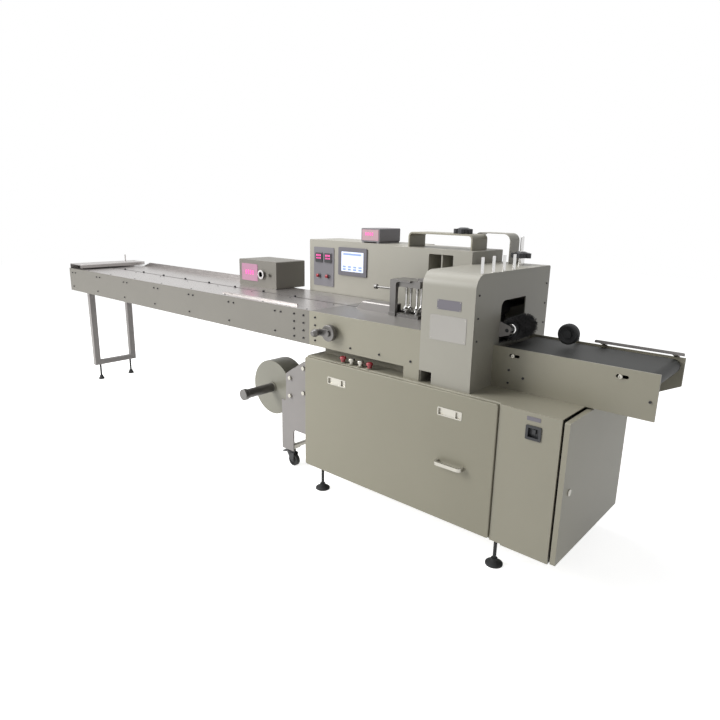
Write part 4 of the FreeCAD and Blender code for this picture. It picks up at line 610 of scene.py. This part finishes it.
class WRAPPER_OT_bristles(bpy.types.Operator):
    """The outlet brush: a hub between two flanges, with tapering bristles set in rings round it"""
    bl_idname = "wrapper.bristles"
    bl_label = "Bristles"

    def execute(self, context):
        low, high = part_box("outlet_brush")
        axis = np.array([middle(low.x, high.x), 0.0, middle(low.z, high.z)])
        outer = (high.x - low.x) / 2
        margin = sizes().brush_margin
        near, far = low.y + margin, high.y - margin
        shaft, flange, hub, thin = outer * 0.15, outer * 0.62, outer * 0.52, 0.006
        profile = [(POLE, low.y), (shaft, low.y), (shaft, near - thin), (flange, near - thin), (flange, near),
                   (hub, near), (hub, far), (flange, far), (flange, far + thin), (shaft, far + thin),
                   (shaft, high.y), (POLE, high.y)]
        core = put_mesh("brush_hub", *revolved(axis, Y, profile, 40), moulded_plastic(), "brush")
        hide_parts("outlet_brush")
        rooted, reached = 0.97, 0.99
        points, faces = self.tufts(axis, near, far, hub * rooted, outer * reached)
        put_mesh("brush_bristles", points, faces, nylon(), "brush")
        disc = [(POLE, -0.001), (0.026, -0.001), (0.026, 0.0012), (0.02, 0.0022), (0.012, 0.0018),
                (POLE, 0.0018)]
        centre = axis + Y * (near - thin)
        put_mesh("brush_hub_disc", *revolved(centre, -Y, disc, 28), chrome_plate(), "brush", smooth=True)
        return {"FINISHED"}

    def tufts(self, axis, near, far, start, end):
        """Square tapers: foot + direction * reach + width * (cos, sin) of a quarter turn, where the
        direction goes round the axis, and each taper's reach is drawn at random near the full radius."""
        rows, around, sides = 34, 64, 4
        edge, scatter, ragged, flare = 0.003, 0.02, 0.012, 1.5
        chance = np.random.default_rng(BRISTLE_SEED)
        y, t = np.meshgrid(np.linspace(near + edge, far - edge, rows),
                           np.arange(around) * 2 * math.pi / around, indexing="ij")
        t = t + (np.arange(rows) % 2)[:, None] * math.pi / around + chance.normal(0, scatter, t.shape)
        out = np.stack([np.cos(t), np.zeros_like(t), np.sin(t)], axis=-1).reshape(-1, 3)
        foot = axis + y.reshape(-1, 1) * Y
        across = np.stack([-out[:, 2], np.zeros(len(out)), out[:, 0]], axis=-1)
        turn = np.arange(sides) * 2 * math.pi / sides
        ring = np.cos(turn)[None, :, None] * across[:, None] + np.sin(turn)[None, :, None] * Y[None, None]
        fine = sizes().bristle
        reach = end - chance.uniform(0, ragged, len(out))
        stages = [(np.full(len(out), start), fine), (reach, fine * flare)]
        points = np.stack([foot[:, None] + out[:, None] * r[:, None, None] + ring * w
                           for r, w in stages], axis=1)
        first = (np.arange(len(out)) * sides * 2)[:, None]
        walls = (grid_faces(2, sides, True)[None, :, ::-1] + first[:, :, None]).reshape(-1, 4)
        tips = np.arange(sides)[None, ::-1] + sides + first
        ends = np.arange(sides)[None] + first
        return points.reshape(-1, 3), np.concatenate([walls, tips, ends])


class WRAPPER_OT_springs(bpy.types.Operator):
    """The pressure springs round the spindles of the fin-seal unit"""
    bl_idname = "wrapper.springs"
    bl_label = "Springs"

    def execute(self, context):
        low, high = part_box("fin_seal_wheels")
        inset, below, rise = 0.016, 0.062, 0.05
        places = [(x, y) for x in (low.x + inset, high.x - inset) for y in (low.y + inset, high.y - inset)]
        turns, points_a_turn, wire, coil, sides = 7, 16, 0.0012, 0.0105, 6
        t = np.linspace(0, turns * 2 * math.pi, turns * points_a_turn)
        base = high.z - below
        shapes = []
        for x, y in places:
            path = np.stack([x + coil * np.cos(t), y + coil * np.sin(t), base + rise * t / t[-1]], axis=-1)
            radial = np.stack([np.cos(t), np.sin(t), np.zeros_like(t)], axis=-1)
            a = np.arange(sides) * 2 * math.pi / sides
            section = np.cos(a)[None, :, None] * radial[:, None] + np.sin(a)[None, :, None] * Z
            rings = path[:, None] + wire * section
            shapes.append((rings.reshape(-1, 3), grid_faces(len(t), sides, True)[:, ::-1]))
        put_mesh("pressure_springs", *merged(shapes), zinc_plate(), "machine", smooth=True)
        return {"FINISHED"}


class WRAPPER_OT_stage(bpy.types.Operator):
    """The plain floor, the soft lights and the camera"""
    bl_idname = "wrapper.stage"
    bl_label = "Stage"

    def execute(self, context):
        self.add_floor()
        self.add_lights(context)
        self.add_camera(context)
        context.scene.view_settings.view_transform = "Standard"
        return {"FINISHED"}

    def white_seen(self, tree, kind):
        """A factor that is one where a camera, glossy or transmitted ray looks, and a white glow for it."""
        path = add_node(tree, "ShaderNodeLightPath")
        glow = add_node(tree, kind, {"Color": (1, 1, 1, 1), "Strength": 1.0})
        seen = add_node(tree, "ShaderNodeMath", {"operation": "MAXIMUM"})
        tree.links.new(path.outputs["Is Camera Ray"], seen.inputs[0])
        tree.links.new(path.outputs["Is Glossy Ray"], seen.inputs[1])
        through = add_node(tree, "ShaderNodeMath", {"operation": "MAXIMUM"})
        tree.links.new(seen.outputs[0], through.inputs[0])
        tree.links.new(path.outputs["Is Transmission Ray"], through.inputs[1])
        return through, glow

    def add_floor(self):
        points = np.array([[-1, -1, 0], [1, -1, 0], [1, 1, 0], [-1, 1, 0]], float) * FLOOR_HALF
        mesh = bpy.data.meshes.new("studio_floor")
        mesh.from_pydata(points.tolist(), [], [(0, 1, 2, 3)])
        material = bpy.data.materials.new("studio_floor_paper")
        material.use_nodes = True
        tree = material.node_tree
        tree.nodes.clear()
        paper = add_node(tree, "ShaderNodeBsdfDiffuse", {"Color": linear(colours().floor)})
        factor, glow = self.white_seen(tree, "ShaderNodeEmission")
        glow.inputs["Strength"].default_value = FLOOR_GLOW
        mix = add_node(tree, "ShaderNodeAddShader", {}, {0: paper.outputs[0], 1: glow.outputs[0]})
        choice = add_node(tree, "ShaderNodeMixShader", {},
                          {0: factor.outputs[0], 1: paper.outputs[0], 2: mix.outputs[0]})
        add_node(tree, "ShaderNodeOutputMaterial", {}, {"Surface": choice.outputs[0]})
        mesh.materials.append(material)
        floor = bpy.data.objects.new("studio_floor", mesh)
        bpy.context.scene.collection.objects.link(floor)

    def add_lights(self, context):
        world = bpy.data.worlds.new("soft_studio")
        world.use_nodes = True
        tree = world.node_tree
        tree.nodes.clear()
        soft = add_node(tree, "ShaderNodeBackground",
                        {"Color": linear(colours().sky), "Strength": SKY_STRENGTH})
        factor, glow = self.white_seen(tree, "ShaderNodeBackground")
        choice = add_node(tree, "ShaderNodeMixShader", {},
                          {0: factor.outputs[0], 1: soft.outputs[0], 2: glow.outputs[0]})
        add_node(tree, "ShaderNodeOutputWorld", {}, {"Surface": choice.outputs[0]})
        context.scene.world = world
        low, high = CAD_BOX
        toward_head, aim_level = 0.6, 0.7
        aim = Vector((middle(low[0], high[0]) + toward_head, 0, aim_level))
        for name, place, size_m, share in (("key_light", (-3.2, -4.4, 3.6), 3.0, 1.0),
                                           ("top_light", (-0.6, -0.4, 4.6), 3.5, 0.4)):
            lamp = bpy.data.lights.new(name, "AREA")
            lamp.energy = sizes().key_power * share
            lamp.size = size_m
            light = bpy.data.objects.new(name, lamp)
            light.location = place
            light.rotation_euler = (aim - Vector(place)).to_track_quat("-Z", "Y").to_euler()
            context.scene.collection.objects.link(light)

    def add_camera(self, context):
        s = sizes()
        a, e, r = s.azimuth, s.elevation, s.roll
        right = Vector((math.cos(a), math.sin(a), 0))
        back = Vector((math.sin(a) * math.cos(e), -math.cos(a) * math.cos(e), math.sin(e)))
        up = back.cross(right)
        across = math.cos(r) * right + math.sin(r) * up
        upward = math.cos(r) * up - math.sin(r) * right
        door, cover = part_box("end_door"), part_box("front_cover")
        place = Vector((door[1].x + s.camera_side, cover[0].y - s.camera_ahead, s.camera_up))
        lens = bpy.data.cameras.new("camera")
        lens.lens = s.lens
        lens.sensor_width = SENSOR_WIDTH
        camera = bpy.data.objects.new("camera", lens)
        turn = Matrix((across, upward, back)).transposed().to_4x4()
        camera.matrix_world = Matrix.Translation(place) @ turn
        context.scene.collection.objects.link(camera)
        context.scene.camera = camera


class WRAPPER_PT_panel(bpy.types.Panel):
    """The wrapper's pieces, in the 3D view's sidebar"""
    bl_label = "Flow wrapper"
    bl_idname = "WRAPPER_PT_panel"
    bl_space_type = "VIEW_3D"
    bl_region_type = "UI"
    bl_category = "Wrapper"

    def draw(self, context):
        for operator in OPERATORS:
            self.layout.operator(operator.bl_idname)


OPERATORS = (WRAPPER_OT_finishes, WRAPPER_OT_fasteners, WRAPPER_OT_plates, WRAPPER_OT_displays,
             WRAPPER_OT_bristles, WRAPPER_OT_springs, WRAPPER_OT_stage)
CLASSES = (WrapperColours, WrapperSizes, *OPERATORS, WRAPPER_PT_panel)


def register():
    for cls in CLASSES:
        bpy.utils.register_class(cls)
    bpy.types.Scene.wrapper_colours = bpy.props.PointerProperty(type=WrapperColours)
    bpy.types.Scene.wrapper_sizes = bpy.props.PointerProperty(type=WrapperSizes)


def unregister():
    del bpy.types.Scene.wrapper_sizes
    del bpy.types.Scene.wrapper_colours
    for cls in reversed(CLASSES):
        bpy.utils.unregister_class(cls)


def main():
    register()
    for operator in OPERATORS:
        group, name = operator.bl_idname.split(".")
        getattr(getattr(bpy.ops, group), name)()


if __name__ == "__main__":
    main()
